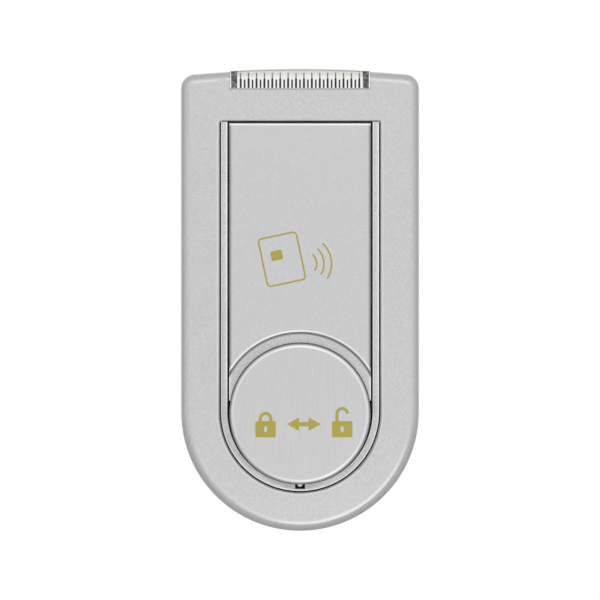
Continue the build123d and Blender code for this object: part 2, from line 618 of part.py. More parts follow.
def barrel_screw_places():
    places = []
    for index in range(BARREL_SCREW_COUNT):
        angle = math.radians(-90 + index * 360 / BARREL_SCREW_COUNT)
        places.append((BARREL_SCREW_CIRCLE * math.cos(angle), BARREL_SCREW_CIRCLE * math.sin(angle)))
    return places


def barrel_screws():
    screws = Part()
    for place in barrel_screw_places():
        screws += flat_screw(place, FLANGE_FRONT, BARREL_SCREW_SHANK, BARREL_SCREW_LENGTH, BARREL_SCREW_HEAD,
                             BARREL_SCREW_HEAD_HEIGHT, -1)
    return screws


def thrust_washer():
    return slab(Circle(THRUST_RADIUS) - Circle(SPINDLE_RADIUS + PLAY), FLANGE_FRONT, THRUST_FRONT)


def barrel_nut():
    sides = 6
    back = -DOOR - NUT_THICKNESS
    flat = BARREL_RADIUS + NUT_WALL
    nut = slab(RegularPolygon(flat, sides, major_radius=False), back, -DOOR)
    blank = slab(Circle(flat / math.cos(math.pi / sides)), back, -DOOR)
    nut &= chamfer(blank.edges().filter_by(GeomType.CIRCLE), NUT_CHAMFER)
    return nut - posts([(0, 0)], BARREL_RADIUS + RUNNING, back - OVERRUN, OVERRUN)


def cam():
    arm = Pos(0, CAM_REACH / 2) * Rectangle(2 * CAM_HALF, CAM_REACH)
    arm = fillet(arm.vertices().sort_by(Axis.Y)[-2:], CAM_END_RADIUS)
    outline = arm + Circle(CAM_HUB) - spindle_square(SLIP)
    return slab(outline, CAM_BACK, CAM_FRONT)


def cam_washer():
    return slab(Circle(CAM_WASHER) - Circle(CAM_SCREW_SHANK + PLAY), CAM_WASHER_BACK, CAM_BACK)


def cam_screw():
    return pan_screws([(0, 0)], CAM_WASHER_BACK, CAM_SCREW_SHANK, CAM_SCREW_LENGTH - PLAY, CAM_SCREW_HEAD,
                      CAM_SCREW_HEAD_HEIGHT)


def gasket():
    pad = slab(arch(GASKET_INSET), 0, GASKET)
    pad -= posts([(0, 0)], BARREL_RADIUS + PLAY, -OVERRUN, GASKET + OVERRUN)
    return pad - posts(FIXINGS, INSERT_RADIUS, -OVERRUN, GASKET + OVERRUN)


def base_plate():
    plate = slab(arch(WALL + PLAY), RIM, BASE_FRONT)
    plate += posts(FIXINGS, INSERT_RADIUS + INSERT_WALL, BASE_FRONT, RIM + INSERT_LENGTH)
    seat_left = CAN_START + SEAT_INSET
    seat_right = CAN_START + MOTOR_LENGTH - SEAT_INSET
    low = PINION_HEIGHT - MOTOR_WIDTH / 2 + MOTOR_END_RADIUS
    high = PINION_HEIGHT + MOTOR_WIDTH / 2 - MOTOR_END_RADIUS
    plate += block(seat_left, seat_right, low, high, BASE_FRONT, MOTOR_BACK - RUNNING)
    plate -= posts([(0, 0)], BARREL_RADIUS + SLIP, RIM - OVERRUN, BASE_FRONT + OVERRUN)
    plate -= posts(FIXINGS, INSERT_RADIUS, RIM - OVERRUN, RIM + INSERT_LENGTH + OVERRUN)
    wide = BASE_SCREW_HEAD + SLIP
    narrow = BASE_SCREW_SHANK + SLIP
    for place in BASE_BOSSES:
        sunk = Solid.make_cone(wide, narrow, BASE_SCREW_HEAD_HEIGHT, level(RIM))
        plate -= Pos(place[0], 0, place[1]) * sunk
        plate -= posts([place], narrow, RIM, BASE_FRONT + OVERRUN)
    screw_places = barrel_screw_places()
    plate -= posts(screw_places, BARREL_SCREW_SHANK + RUNNING, RIM - OVERRUN, BASE_FRONT + OVERRUN)
    small_places = guide_screw_places() + clamp_screw_places()
    return plate - posts(small_places, SMALL_SHANK + RUNNING, RIM, BASE_FRONT + OVERRUN)


def fixing_inserts():
    inserts = posts(FIXINGS, INSERT_RADIUS, RIM, RIM + INSERT_LENGTH)
    return inserts - posts(FIXINGS, INSERT_BORE, RIM - OVERRUN, RIM + INSERT_LENGTH + OVERRUN)


def base_screws():
    screws = Part()
    for place in BASE_BOSSES:
        screws += flat_screw(place, RIM, BASE_SCREW_SHANK, BASE_SCREW_LENGTH, BASE_SCREW_HEAD,
                             BASE_SCREW_HEAD_HEIGHT, 1)
    return screws


def tooth(root, tip, base_share, tip_share):
    """One straight-sided tooth that points along local +Y from its root to its tip."""
    base = base_share * PITCH / 2
    point = tip_share * PITCH / 2
    return make_face(Polyline((-base, root), (-point, tip), (point, tip), (base, root), close=True))


def blocker():
    half = BLOCKER_WIDTH / 2
    end = BLOCKER_TIP + BLOCKER_LENGTH
    bar = block(-half, half, BLOCKER_TIP, end, BLOCKER_BACK, BLOCKER_FRONT)
    root_depth = BLOCKER_FRONT - 2 * MODULE - SLIP
    rack_foot = BLOCKER_TIP + RACK_START
    rack_top = rack_foot + RACK_TEETH * PITCH
    bar -= block(-BLOCKER_WIDTH, BLOCKER_WIDTH, rack_foot, rack_top, root_depth, BLOCKER_FRONT + OVERRUN)
    profile = tooth(-SLIP, 2 * MODULE + SLIP, TOOTH_ROOT_SHARE, TOOTH_TIP_SHARE)
    first = math.ceil((rack_foot - PINION_HEIGHT) / PITCH) + 0.5
    for index in range(RACK_TEETH - 1):
        height = PINION_HEIGHT + (first + index) * PITCH
        side = Plane((-half, -root_depth, height), x_dir=(0, 0, 1), z_dir=(1, 0, 0))
        bar += extrude(side * profile, BLOCKER_WIDTH)
    return bar


def drive_pinion():
    root = PITCH_RADIUS - MODULE - SLIP
    wheel = Circle(root)
    profile = tooth(root - SLIP, PITCH_RADIUS + MODULE, TOOTH_ROOT_SHARE, TOOTH_TIP_SHARE)
    for index in range(PINION_TEETH):
        wheel += Rot(0, 0, index * 360 / PINION_TEETH - 90) * profile
    wheel -= Circle(SHAFT_RADIUS)
    return along_x(wheel, -PINION_WIDTH / 2, PINION_WIDTH / 2, PINION_DEPTH, PINION_HEIGHT)


def output_shaft():
    return along_x(Circle(SHAFT_RADIUS), -PINION_WIDTH / 2, SHAFT_LENGTH - PINION_WIDTH / 2, PINION_DEPTH,
                   PINION_HEIGHT)


def gearbox():
    outline = Rectangle(MOTOR_THICKNESS, MOTOR_WIDTH)
    bore = Circle(SHAFT_RADIUS + RUNNING)
    bore_end = SHAFT_LENGTH - PINION_WIDTH / 2 + PLAY
    case = along_x(outline, GEARBOX_START, CAN_START, PINION_DEPTH, PINION_HEIGHT)
    return case - along_x(bore, GEARBOX_START, bore_end, PINION_DEPTH, PINION_HEIGHT)


def motor_can():
    outline = RectangleRounded(MOTOR_THICKNESS, MOTOR_WIDTH, MOTOR_END_RADIUS)
    can_end = CAN_START + MOTOR_LENGTH
    can = along_x(outline, CAN_START, can_end, PINION_DEPTH, PINION_HEIGHT)
    boss = Circle(MOTOR_END_RADIUS)
    return can + along_x(boss, can_end, can_end + MOTOR_BOSS, PINION_DEPTH, PINION_HEIGHT)


def motor_clamp():
    left = CLAMP_START
    right = left + CLAMP_WIDTH
    low = PINION_HEIGHT - MOTOR_WIDTH / 2 - RUNNING
    high = PINION_HEIGHT + MOTOR_WIDTH / 2 + RUNNING
    roof = MOTOR_FRONT + RUNNING
    strap = block(left, right, low - CLAMP_WALL, high + CLAMP_WALL, BASE_FRONT, roof + CLAMP_WALL)
    strap -= block(left - OVERRUN, right + OVERRUN, low, high, BASE_FRONT - OVERRUN, roof)
    strap += block(left, right, low - CLAMP_FOOT, low, BASE_FRONT, BASE_FRONT + CLAMP_WALL)
    strap += block(left, right, high, high + CLAMP_FOOT, BASE_FRONT, BASE_FRONT + CLAMP_WALL)
    holes = posts(clamp_screw_places(), SMALL_SHANK + SLIP, BASE_FRONT - OVERRUN, BASE_FRONT + OVERRUN)
    return strap - holes


def clamp_screw_places():
    x = CLAMP_START + CLAMP_WIDTH / 2
    reach = MOTOR_WIDTH / 2 + RUNNING + CLAMP_FOOT - SMALL_HEAD - SLIP
    return [(x, PINION_HEIGHT - reach), (x, PINION_HEIGHT + reach)]


def small_screws(places, seat):
    """Pan screws driven into the base plate, with the heads towards the user."""
    heads = posts(places, SMALL_HEAD, seat, seat + SMALL_HEAD_HEIGHT)
    shanks = posts(places, SMALL_SHANK, RIM + SLIP, seat)
    recess = cross(SMALL_HEAD / 2, SMALL_HEAD / 5)
    cuts = [slab(Pos(*place) * recess, seat + SMALL_HEAD_HEIGHT / 2, seat + OVERRUN) for place in places]
    return heads + shanks - cuts


def blocker_guide():
    inner = BLOCKER_WIDTH / 2 + SLIP
    outer = inner + GUIDE_RAIL_WIDTH
    rail_front = CHANNEL_FLOOR + GUIDE_RAIL_HEIGHT
    roof_back = BLOCKER_FRONT + SLIP
    guide = block(-GUIDE_BASE_HALF, GUIDE_BASE_HALF, GUIDE_START, GUIDE_END, BASE_FRONT, CHANNEL_FLOOR)
    guide += block(-outer, -inner, GUIDE_START, GUIDE_END, CHANNEL_FLOOR, rail_front)
    guide += block(inner, outer, GUIDE_START, GUIDE_END, CHANNEL_FLOOR, rail_front)
    for foot in (GUIDE_START, PINION_HEIGHT + GUIDE_ROOF_RISE):
        head = foot + GUIDE_ROOF_LENGTH
        roof = block(-outer, outer, foot, head, CHANNEL_FLOOR, roof_back + GUIDE_ROOF)
        guide += roof - block(-inner, inner, foot - OVERRUN, head + OVERRUN, BASE_FRONT, roof_back)
    holes = posts(guide_screw_places(), SMALL_SHANK + SLIP, BASE_FRONT - OVERRUN, CHANNEL_FLOOR + OVERRUN)
    return guide - holes


def guide_screw_places():
    x = GUIDE_BASE_HALF - GUIDE_SCREW_INSET
    low = GUIDE_START + GUIDE_SCREW_INSET
    high = GUIDE_END - GUIDE_SCREW_INSET
    return [(-x, low), (-x, high), (x, high)]


def on_board(place):
    """A place on the board, from its share of the half width and its rise above the foot."""
    return place[0] * BOARD_HALF, BOARD_FOOT + place[1]


def control_board():
    board = block(-BOARD_HALF, BOARD_HALF, BOARD_FOOT, BOARD_TOP, BOARD_BACK, BOARD_FRONT)
    places = LOWER_POSTS + UPPER_POSTS
    return board - posts(places, BOARD_SCREW_SHANK + SLIP, BOARD_BACK - OVERRUN, BOARD_FRONT + OVERRUN)


def board_screws():
    lower_seat = BOARD_BACK - TRAY_FLOOR
    lower_length = BOARD_SCREW_LENGTH + TRAY_FLOOR
    lower = pan_screws(LOWER_POSTS, lower_seat, BOARD_SCREW_SHANK, lower_length, SMALL_HEAD,
                       SMALL_HEAD_HEIGHT)
    upper = pan_screws(UPPER_POSTS, BOARD_BACK, BOARD_SCREW_SHANK, BOARD_SCREW_LENGTH, SMALL_HEAD,
                       SMALL_HEAD_HEIGHT)
    return lower + upper


def board_chips():
    chips = Part()
    for share, rise, side in CHIPS:
        outline = Pos(*on_board((share, rise))) * Rectangle(side, side)
        chips += slab(outline, BOARD_FRONT, BOARD_FRONT + CHIP_HEIGHT)
    return chips


def board_parts():
    top = BOARD_FRONT + PART_HEIGHT
    crystal = Pos(*on_board(CRYSTAL_PLACE)) * Rectangle(*CRYSTAL_SIZE)
    plug = Pos(*on_board(PLUG_PLACE)) * Rectangle(*PLUG_SIZE)
    capacitors = [on_board(place) for place in CAPACITOR_PLACES]
    pieces = posts(capacitors, CAPACITOR_RADIUS, BOARD_FRONT, top)
    pieces += slab(crystal, BOARD_FRONT, BOARD_FRONT + CHIP_HEIGHT)
    return pieces + slab(plug, BOARD_FRONT, top)


def status_leds():
    width, height = LED_SIZE
    front = BOARD_FRONT + LED_HEIGHT
    leds = Part()
    for index in range(LED_COUNT):
        left = (index - (LED_COUNT - 1) / 2) * LED_SPACING - width / 2
        leds += block(left, left + width, BOARD_TOP - height, BOARD_TOP, BOARD_FRONT, front)
    return leds


def buzzer():
    place = on_board(BUZZER_PLACE)
    body = posts([place], BUZZER_RADIUS, BOARD_FRONT, BOARD_FRONT + PART_HEIGHT)
    return body - posts([place], BUZZER_HOLE, BOARD_FRONT + PART_HEIGHT / 2, BOARD_FRONT + OVERRUN)


def antenna_coil():
    width = 2 * (COVER_HALF - COVER_SKIRT - COIL_SIDE_GAP)
    top = COVER_TOP - COIL_TOP_GAP
    foot = RAISED_ARC + COIL_FOOT_GAP
    outer = RectangleRounded(width, top - foot, COIL_CORNER)
    inner = RectangleRounded(width - 2 * COIL_BAND, top - foot - 2 * COIL_BAND, COIL_CORNER - COIL_BAND)
    face = FRONT - COVER_WALL
    return slab(Pos(0, (top + foot) / 2) * (outer - inner), face - COIL_THICKNESS, face)


def battery_tray():
    half = TRAY_INNER_HALF + TRAY_WALL
    floor = BOARD_BACK - TRAY_FLOOR
    back = BASE_FRONT + PLAY
    tray = block(-half, half, TRAY_FOOT, TRAY_TOP, back, BOARD_BACK)
    tray -= block(-TRAY_INNER_HALF, TRAY_INNER_HALF, TRAY_INNER_FOOT, TRAY_INNER_TOP, back - OVERRUN, floor)
    low = CONTACT_FOOT + SPRING_SPACE
    high = CONTACT_TOP - SPRING_SPACE
    for cell in CELL_PLACES[:-1]:
        left = cell + CELL_PITCH / 2 - DIVIDER / 2
        tray += block(left, left + DIVIDER, low, high, floor - DIVIDER_HEIGHT, floor)
    for x, z in LOWER_POSTS:
        tray += posts([(x, z)], TRAY_EAR, floor, BOARD_BACK)
        tray += block(x - TRAY_EAR, x + TRAY_EAR, z, TRAY_FOOT, floor, BOARD_BACK)
    return tray - posts(LOWER_POSTS, BOARD_SCREW_SHANK + SLIP, floor - OVERRUN, BOARD_BACK + OVERRUN)


def battery_cell(index):
    """One cell; every other one stands on its head."""
    body = upright(Circle(CELL_RADIUS), CELL_PLACES[index], CELL_DEPTH, 0, CELL_BODY)
    body = chamfer(body.edges().filter_by(GeomType.CIRCLE), CELL_EDGE)
    body += upright(Circle(NUB_RADIUS), CELL_PLACES[index], CELL_DEPTH, CELL_BODY, CELL_LENGTH)
    if index % 2:
        return Pos(0, 0, CONTACT_FOOT + CELL_LENGTH) * mirror(body, about=Plane.XY)
    return Pos(0, 0, CONTACT_FOOT + SPRING_SPACE) * body


def battery_springs():
    rise = SPRING_SPACE - 2 * SPRING_WIRE - 2 * RUNNING
    path = Helix(rise / SPRING_TURNS, rise, PLATE_HALF * SPRING_SHARE)
    wire = Rectangle(2 * SPRING_WIRE, 2 * SPRING_WIRE)
    coil = sweep(Plane(path @ 0, z_dir=path % 0) * wire, path=path, is_frenet=True)
    springs = Part()
    for index, x in enumerate(CELL_PLACES):
        foot = CONTACT_TOP - SPRING_SPACE if index % 2 else CONTACT_FOOT
        springs += Pos(x, -CELL_DEPTH, foot + SPRING_WIRE + RUNNING) * coil
    return springs


def contact_plates():
    """Links that join the cells in a row, and the two end contacts."""
    first, second, third, fourth = CELL_PLACES
    back = CELL_DEPTH - PLATE_HALF
    front = CELL_DEPTH + PLATE_HALF
    plates = Part()
    for left, right in ((first, second), (third, fourth)):
        plates += block(left - PLATE_HALF, right + PLATE_HALF, TRAY_INNER_FOOT, CONTACT_FOOT, back, front)
    for left, right in ((first, first), (second, third), (fourth, fourth)):
        plates += block(left - PLATE_HALF, right + PLATE_HALF, CONTACT_TOP, TRAY_INNER_TOP, back, front)
    return plates


def all_pieces():
    pieces = {
        "front_housing": front_housing(),
        "window_trim": window_trim(),
        "reader_cover": reader_cover(),
        "light_guide": light_guide(),
        "cover_screws": cover_screws(),
        "antenna_coil": antenna_coil(),
        "control_board": control_board(),
        "board_chips": board_chips(),
        "board_parts": board_parts(),
        "status_leds": status_leds(),
        "buzzer": buzzer(),
        "board_screws": board_screws(),
        "battery_tray": battery_tray(),
        "battery_springs": battery_springs(),
        "contact_plates": contact_plates(),
        "motor_can": motor_can(),
        "gearbox": gearbox(),
        "output_shaft": output_shaft(),
        "drive_pinion": drive_pinion(),
        "motor_clamp": motor_clamp(),
        "clamp_screws": small_screws(clamp_screw_places(), BASE_FRONT + CLAMP_WALL),
        "blocker": blocker(),
        "blocker_guide": blocker_guide(),
        "guide_screws": small_screws(guide_screw_places(), CHANNEL_FLOOR),
        "base_plate": base_plate(),
        "fixing_inserts": fixing_inserts(),
        "gasket": gasket(),
        "base_screws": base_screws(),
        "barrel": barrel(),
        "barrel_screws": barrel_screws(),
        "thrust_washer": thrust_washer(),
        "rotor": rotor(),
        "spindle": spindle(),
        "knob_body": knob_body(),
        "knob_cap": knob_cap(),
        "knob_screw": knob_screw(),
        "barrel_nut": barrel_nut(),
        "cam": cam(),
        "cam_washer": cam_washer(),
        "cam_screw": cam_screw(),
    }
    for index in range(CELL_COUNT):
        pieces[f"battery_cell_{index + 1}"] = battery_cell(index)
    return pieces


os.makedirs("parts", exist_ok=True)
for name, piece in all_pieces().items():
    export_step(piece, f"parts/{name}.step")
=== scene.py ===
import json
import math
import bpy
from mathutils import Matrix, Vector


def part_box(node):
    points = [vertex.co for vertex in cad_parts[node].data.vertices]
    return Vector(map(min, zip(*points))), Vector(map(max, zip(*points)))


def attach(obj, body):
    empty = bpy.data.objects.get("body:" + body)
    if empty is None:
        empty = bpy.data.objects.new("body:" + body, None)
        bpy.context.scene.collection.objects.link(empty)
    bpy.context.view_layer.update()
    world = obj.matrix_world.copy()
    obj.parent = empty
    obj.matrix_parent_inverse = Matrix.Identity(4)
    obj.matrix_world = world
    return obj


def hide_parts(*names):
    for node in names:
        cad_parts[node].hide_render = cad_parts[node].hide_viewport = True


bl_info = {
    "name": "Electronic Cabinet Lock",
    "version": (1, 0, 0),
    "blender": (4, 5, 0),
    "location": "View3D > Sidebar > Cabinet Lock",
    "description": "Dresses the solids of an electronic cabinet lock with its finishes and fine pieces",
    "category": "Object",
}

import bmesh
import bpy
from bpy.props import FloatProperty, FloatVectorProperty, IntProperty, PointerProperty
from mathutils import Matrix, Vector

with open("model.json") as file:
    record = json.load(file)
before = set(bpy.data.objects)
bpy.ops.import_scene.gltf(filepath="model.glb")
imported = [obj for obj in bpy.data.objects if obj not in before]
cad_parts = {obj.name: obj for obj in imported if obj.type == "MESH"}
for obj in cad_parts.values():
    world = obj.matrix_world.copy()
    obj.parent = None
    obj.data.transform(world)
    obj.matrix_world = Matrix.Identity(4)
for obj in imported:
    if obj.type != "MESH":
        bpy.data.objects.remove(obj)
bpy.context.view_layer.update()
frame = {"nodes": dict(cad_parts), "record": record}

MM = 0.001

GUIDE_LOW, GUIDE_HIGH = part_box("light_guide")
BARREL_LOW, BARREL_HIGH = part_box("barrel")
COIL_LOW, COIL_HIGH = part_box("antenna_coil")
CAP_LOW, CAP_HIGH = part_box("knob_cap")
HOUSING_LOW, HOUSING_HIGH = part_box("front_housing")
COVER_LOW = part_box("reader_cover")[0]
TRIM_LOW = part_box("window_trim")[0]
CROWN_BACK = GUIDE_LOW.y + 2.8 * MM  # where the light guide's rounded crown ends

SAME_PLACE = 0.0005 * MM  # points of a solid's mesh that are nearer than this are one point
SHARP = math.radians(40)  # the angle from which an edge counts as a sharp one
WHITE = (1.0, 1.0, 1.0, 1.0)


def grey(level):
    return (level, level, level)


# Slots of bare metal: tint, roughness and, where it isn't the usual one, the size of the mottle
METALS = {
    "zinc_steel": ((0.46, 0.47, 0.48), 0.32),
    "barrel_nickel": ((0.58, 0.56, 0.52), 0.22),
    "cast_zinc": ((0.42, 0.42, 0.43), 0.5, 0.6 * MM),
    "insert_brass": ((0.66, 0.47, 0.18), 0.3),
    "gear_brass": ((0.70, 0.50, 0.20), 0.3),
    "spring_nickel": ((0.66, 0.64, 0.60), 0.25),
}
# Slots of moulded plastic: tint, roughness and, where it isn't the usual one, the depth of the mottle
PLASTICS = {
    "knob_black": ((0.02, 0.02, 0.021), 0.5),
    "chip_black": (grey(0.015), 0.5),
    "part_white": ((0.75, 0.73, 0.68), 0.5),
    "led_white": ((0.90, 0.88, 0.70), 0.2, 0.05),
    "tray_black": (grey(0.02), 0.55),
    "guide_nylon": ((0.76, 0.74, 0.68), 0.5),
}


# Sizes and colours that a user would change


def metres(name, description, default, low=0.0, high=1.0):
    return FloatProperty(
        name=name, description=description, default=default, min=low, max=high,
        subtype="DISTANCE", unit="LENGTH", precision=5,
    )


def length(name, description, default, low=0.0, high=1000.0):
    """A size of the lock, written in millimetres and kept in metres."""
    return metres(name, description, default * MM, low * MM, high * MM)


def colour(name, description, default):
    return FloatVectorProperty(
        name=name, description=description, default=default, min=0.0, max=1.0, size=3, subtype="COLOR",
    )


def share(name, description, default):
    return FloatProperty(
        name=name, description=description, default=default, min=0.0, max=1.0, subtype="FACTOR",
    )


def watts(name, description, default):
    return FloatProperty(name=name, description=description, default=default, min=0.0, unit="POWER")


def number(name, description, default, low, high):
    return IntProperty(name=name, description=description, default=default, min=low, max=high)


class LockFinishes(bpy.types.PropertyGroup):
    silver: colour("Silver paint", "Colour of the housing and the knob", (0.62, 0.62, 0.63))
    cover: colour("Cover paint", "Colour of the card reader's cover", (0.62, 0.62, 0.63))
    strip: colour("Strip", "Colour of the grained strip round the cover", (0.66, 0.66, 0.66))
    # The plate's near black is partly its own colour and partly painted shade for the grooves
    groove: colour("Grooves", "Colour of the plate under the strip", (0.008, 0.008, 0.009))
    gold: colour("Gold print", "Colour of the printed signs", (0.46, 0.40, 0.06))
    clear: colour("Light guide", "Colour of the clear light guide", (0.98, 0.98, 0.97))
    foam: colour("Gasket", "Colour of the foam gasket", (0.03, 0.03, 0.032))
    paint_roughness: share("Paint roughness", "Roughness of the silver paint", 0.28)
    paint_metal: share("Paint flake", "How metallic the silver paint is", 0.3)
    grain: length("Paint grain", "Size of the paint's grain", 0.4, 0.01, 5)
    grain_depth: share("Grain depth", "How far the grain darkens the paint", 0.16)


class LightBarSizes(bpy.types.PropertyGroup):
    grooves: number("Grooves", "Grooves along the light bar", 31, 3, 99)
    margin: length("End margin", "From each end of the bar to its first groove", 3.3)
    # The black, grey and vein bars in the grooves are painted shade
    dark_width: length("Dark width", "Width of each black inlay", 0.66)
    smoke_width: length("Smoke width", "Width of each grey inlay between the black ones", 0.55)
    vein_width: length("Vein width", "Width of the thin line above each black inlay", 0.28)
    depth: length("Groove depth", "Depth of each groove", 0.5)
    foot: length("Groove foot", "Height of the grooves above the bar's lower edge", 0.35)
    bar_height: length("Bar height", "From the bar's lower edge to the crown", 6.3)
    dark_length: length("Dark length", "Length of the dark part of each groove", 2.9)
    vein_length: length("Vein length", "Length of the thin line above each black inlay", 1.8)
    end_band: length("End band", "Width of the dark band at each end", 1.9)
    end_margin: length("Band margin", "From each end of the bar to its dark band", 0.35)
    # Width of the painted shade line along the bar's crown
    rim: length("Crown line", "Width of the darker line along the bar's rounded crown", 1.6)
    # Strength of the painted light that makes the bar shine
    painted_glow: share("Glow", "How far the lamps behind it light up the bar", 0.22)


class PanelSizes(bpy.types.PropertyGroup):
    arc: length("Panel arc", "From the knob's axis to the raised panel's lower edge", 24.95)
    half: length("Panel half", "From the middle of the cover to each side", 21.85)
    top: length("Panel top", "Height of the cover's top edge", 89.65)
    step: length("Panel step", "From the raised panel's face down to the ledge", 0.8)
    window_half: length("Window half", "From the middle of the window to each side", 24.8)
    window_foot: length("Window foot", "Height of the middle of the window's lower arc", 0.5)
    # Width of the painted shadow line under the raised panel's arc edge
    joint: length("Joint", "Width of the dark joint under the raised panel", 0.5)
    # Width of the painted highlights along the raised panel's edges
    painted_highlight_width: length("Bright edge", "Width of the panel's bright cut edges", 0.5)
    # Width of the painted shade along the raised panel's sides
    fade: length("Side fade", "Width of the shade along the panel's sides", 1.0)


class StripSizes(bpy.types.PropertyGroup):
    edge: length("Strip edge", "Width of the strip's bevelled edges", 0.12)
    gap: length("Outer groove", "From the window's side to the strip", 0.4)
    width: length("Strip width", "Width of the strip", 2.0)
    # Width of the painted highlights along the strip's edges
    shine: length("Bright edge", "Width of the strip's bright edges", 0.35)
    top_rise: length("Strip rise", "How far the strip's ends rise towards the window's edge", 0.45)
    notch_rise: length("Notch rise", "How far the notch's foot rises", 0.2)
    tooth_top: length("Tooth top", "Height of the index tooth's top edge", -21.8, -1000.0)
    tooth_reach: length("Tooth reach", "How far the index tooth reaches down into the notch", 0.75)
    upper_width: length("Tooth top width", "Width of the index tooth at its top", 1.8)
    lower_width: length("Tooth tip width", "Width of the index tooth at its tip", 0.9)
    thickness: length("Tooth thickness", "From the index tooth's face to the notch's floor", 1.25)


class KnobSizes(bpy.types.PropertyGroup):
    slope_start: length("Slope start", "From the knob's axis to the slope round its face", 20.4)
    slope_width: length("Slope width", "Width of the slope", 0.65)
    slope_angle: FloatProperty(
        name="Slope angle", description="Angle of the slope in degrees", default=12.5, min=0.0, max=60.0,
    )
    edge_depth: length("Edge depth", "Depth of the round edge outside the slope", 0.85)
    edge_steps: number("Edge steps", "Faces across the round edge", 8, 2, 32)
    skirt: length("Skirt", "Thickness of the cap's skirt", 1.2)
    thickness: length("Face thickness", "Thickness of the cap's face", 1.5)
    steps: number("Steps", "Faces round the cap", 192, 24, 360)


class ThreadSizes(bpy.types.PropertyGroup):
    pitch: length("Pitch", "Distance between the barrel's threads", 1.0, 0.2, 5)
    depth: length("Depth", "Depth of the barrel's thread", 0.45, 0.05, 2)
    flat: length("Flat", "From the barrel's middle to each of its two flats", 8.1)
    radius: length("Radius", "Radius over the thread", 9.5)
    bore: length("Bore", "Radius of the bore", 4.55)
    flange: length("Flange thickness", "Thickness of the barrel's flange", 1.6)
    overlap: length("Overlap", "How far the threaded tube starts inside the flange", 0.2)
    steps: number("Steps", "Faces round the barrel", 96, 24, 256)


class LatchSizes(bpy.types.PropertyGroup):
    cam_edge: length("Cam edge", "Width of the bevel along the cam's edges", 0.25)
    disc_edge: length("Washer edge", "Width of the bevel along the washer's edges", 0.15)


class SignSizes(bpy.types.PropertyGroup):
    line: length("Line", "Width of the printed lines", 0.55)
    film: length("Film", "Thickness of the print", 0.02)
    card_width: length("Card width", "Width of the card sign", 12.5)
    card_height: length("Card height", "Height of the card sign", 15.5)
    lock_width: length("Padlock width", "Width of each padlock", 7.0)


class StudioSettings(bpy.types.PropertyGroup):
    distance: metres("Camera distance", "From the lock's face to the camera", 3.0, 0.5, 20.0)
    view_width: length("View width", "Width of the picture at the lock's face", 185.1)
    aim_height: length("Aim height", "Height that the camera looks at", 35.05)
    floor_drop: metres("Floor drop", "How far the floor lies below the knob's axis", 2.0, 0.1, 5.0)
    floor_half: metres("Floor half", "From the middle of the floor to each side", 15.2, 1.0, 40.0)
    floor_white: share("Floor white", "How far the floor is whitened where it is seen", 0.44)
    front_light: watts("Front light", "Power of the front light", 1800.0)
    upper_light: watts("Upper light", "Power of the light above", 0.40)
    lower_light: watts("Lower light", "Power of the light below", 0.65)
    side_light: watts("Side light", "Power of each light at the sides", 0.5)
    back_light: watts("Back light", "Power of the light behind", 880.0)
    room: share("Room light", "Brightness of the room on the lock", 0.28)


# Node trees


class Nodes:
    """Short ways to add nodes to a tree and to feed their inputs."""

    def __init__(self, tree):
        self.tree = tree

    def node(self, kind, feeds=None, **settings):
        made = self.tree.nodes.new(kind)
        for key, value in settings.items():
            setattr(made, key, value)
        for key, value in (feeds or {}).items():
            self.feed(value, made.inputs[key])
        return made

    def feed(self, value, socket):
        if isinstance(value, bpy.types.NodeSocket):
            self.tree.links.new(value, socket)
        else:
            socket.default_value = value

    def maths(self, operation, first, second=0.0):
        return self.node("ShaderNodeMath", {0: first, 1: second}, operation=operation).outputs[0]

    def plus(self, first, second):
        return self.maths("ADD", first, second)

    def minus(self, first, second):
        return self.maths("SUBTRACT", first, second)

    def times(self, first, second):
        return self.maths("MULTIPLY", first, second)

    def kept(self, value, low, high):
        """The value, kept between two others."""
        return self.maths("MINIMUM", self.maths("MAXIMUM", value, low), high)

    def vector(self, x=0.0, y=0.0, z=0.0):
        return self.node("ShaderNodeCombineXYZ", {"X": x, "Y": y, "Z": z}).outputs[0]

    def parts(self, vector):
        """A vector's X, Y and Z."""
        return self.node("ShaderNodeSeparateXYZ", {"Vector": vector}).outputs


# Materials


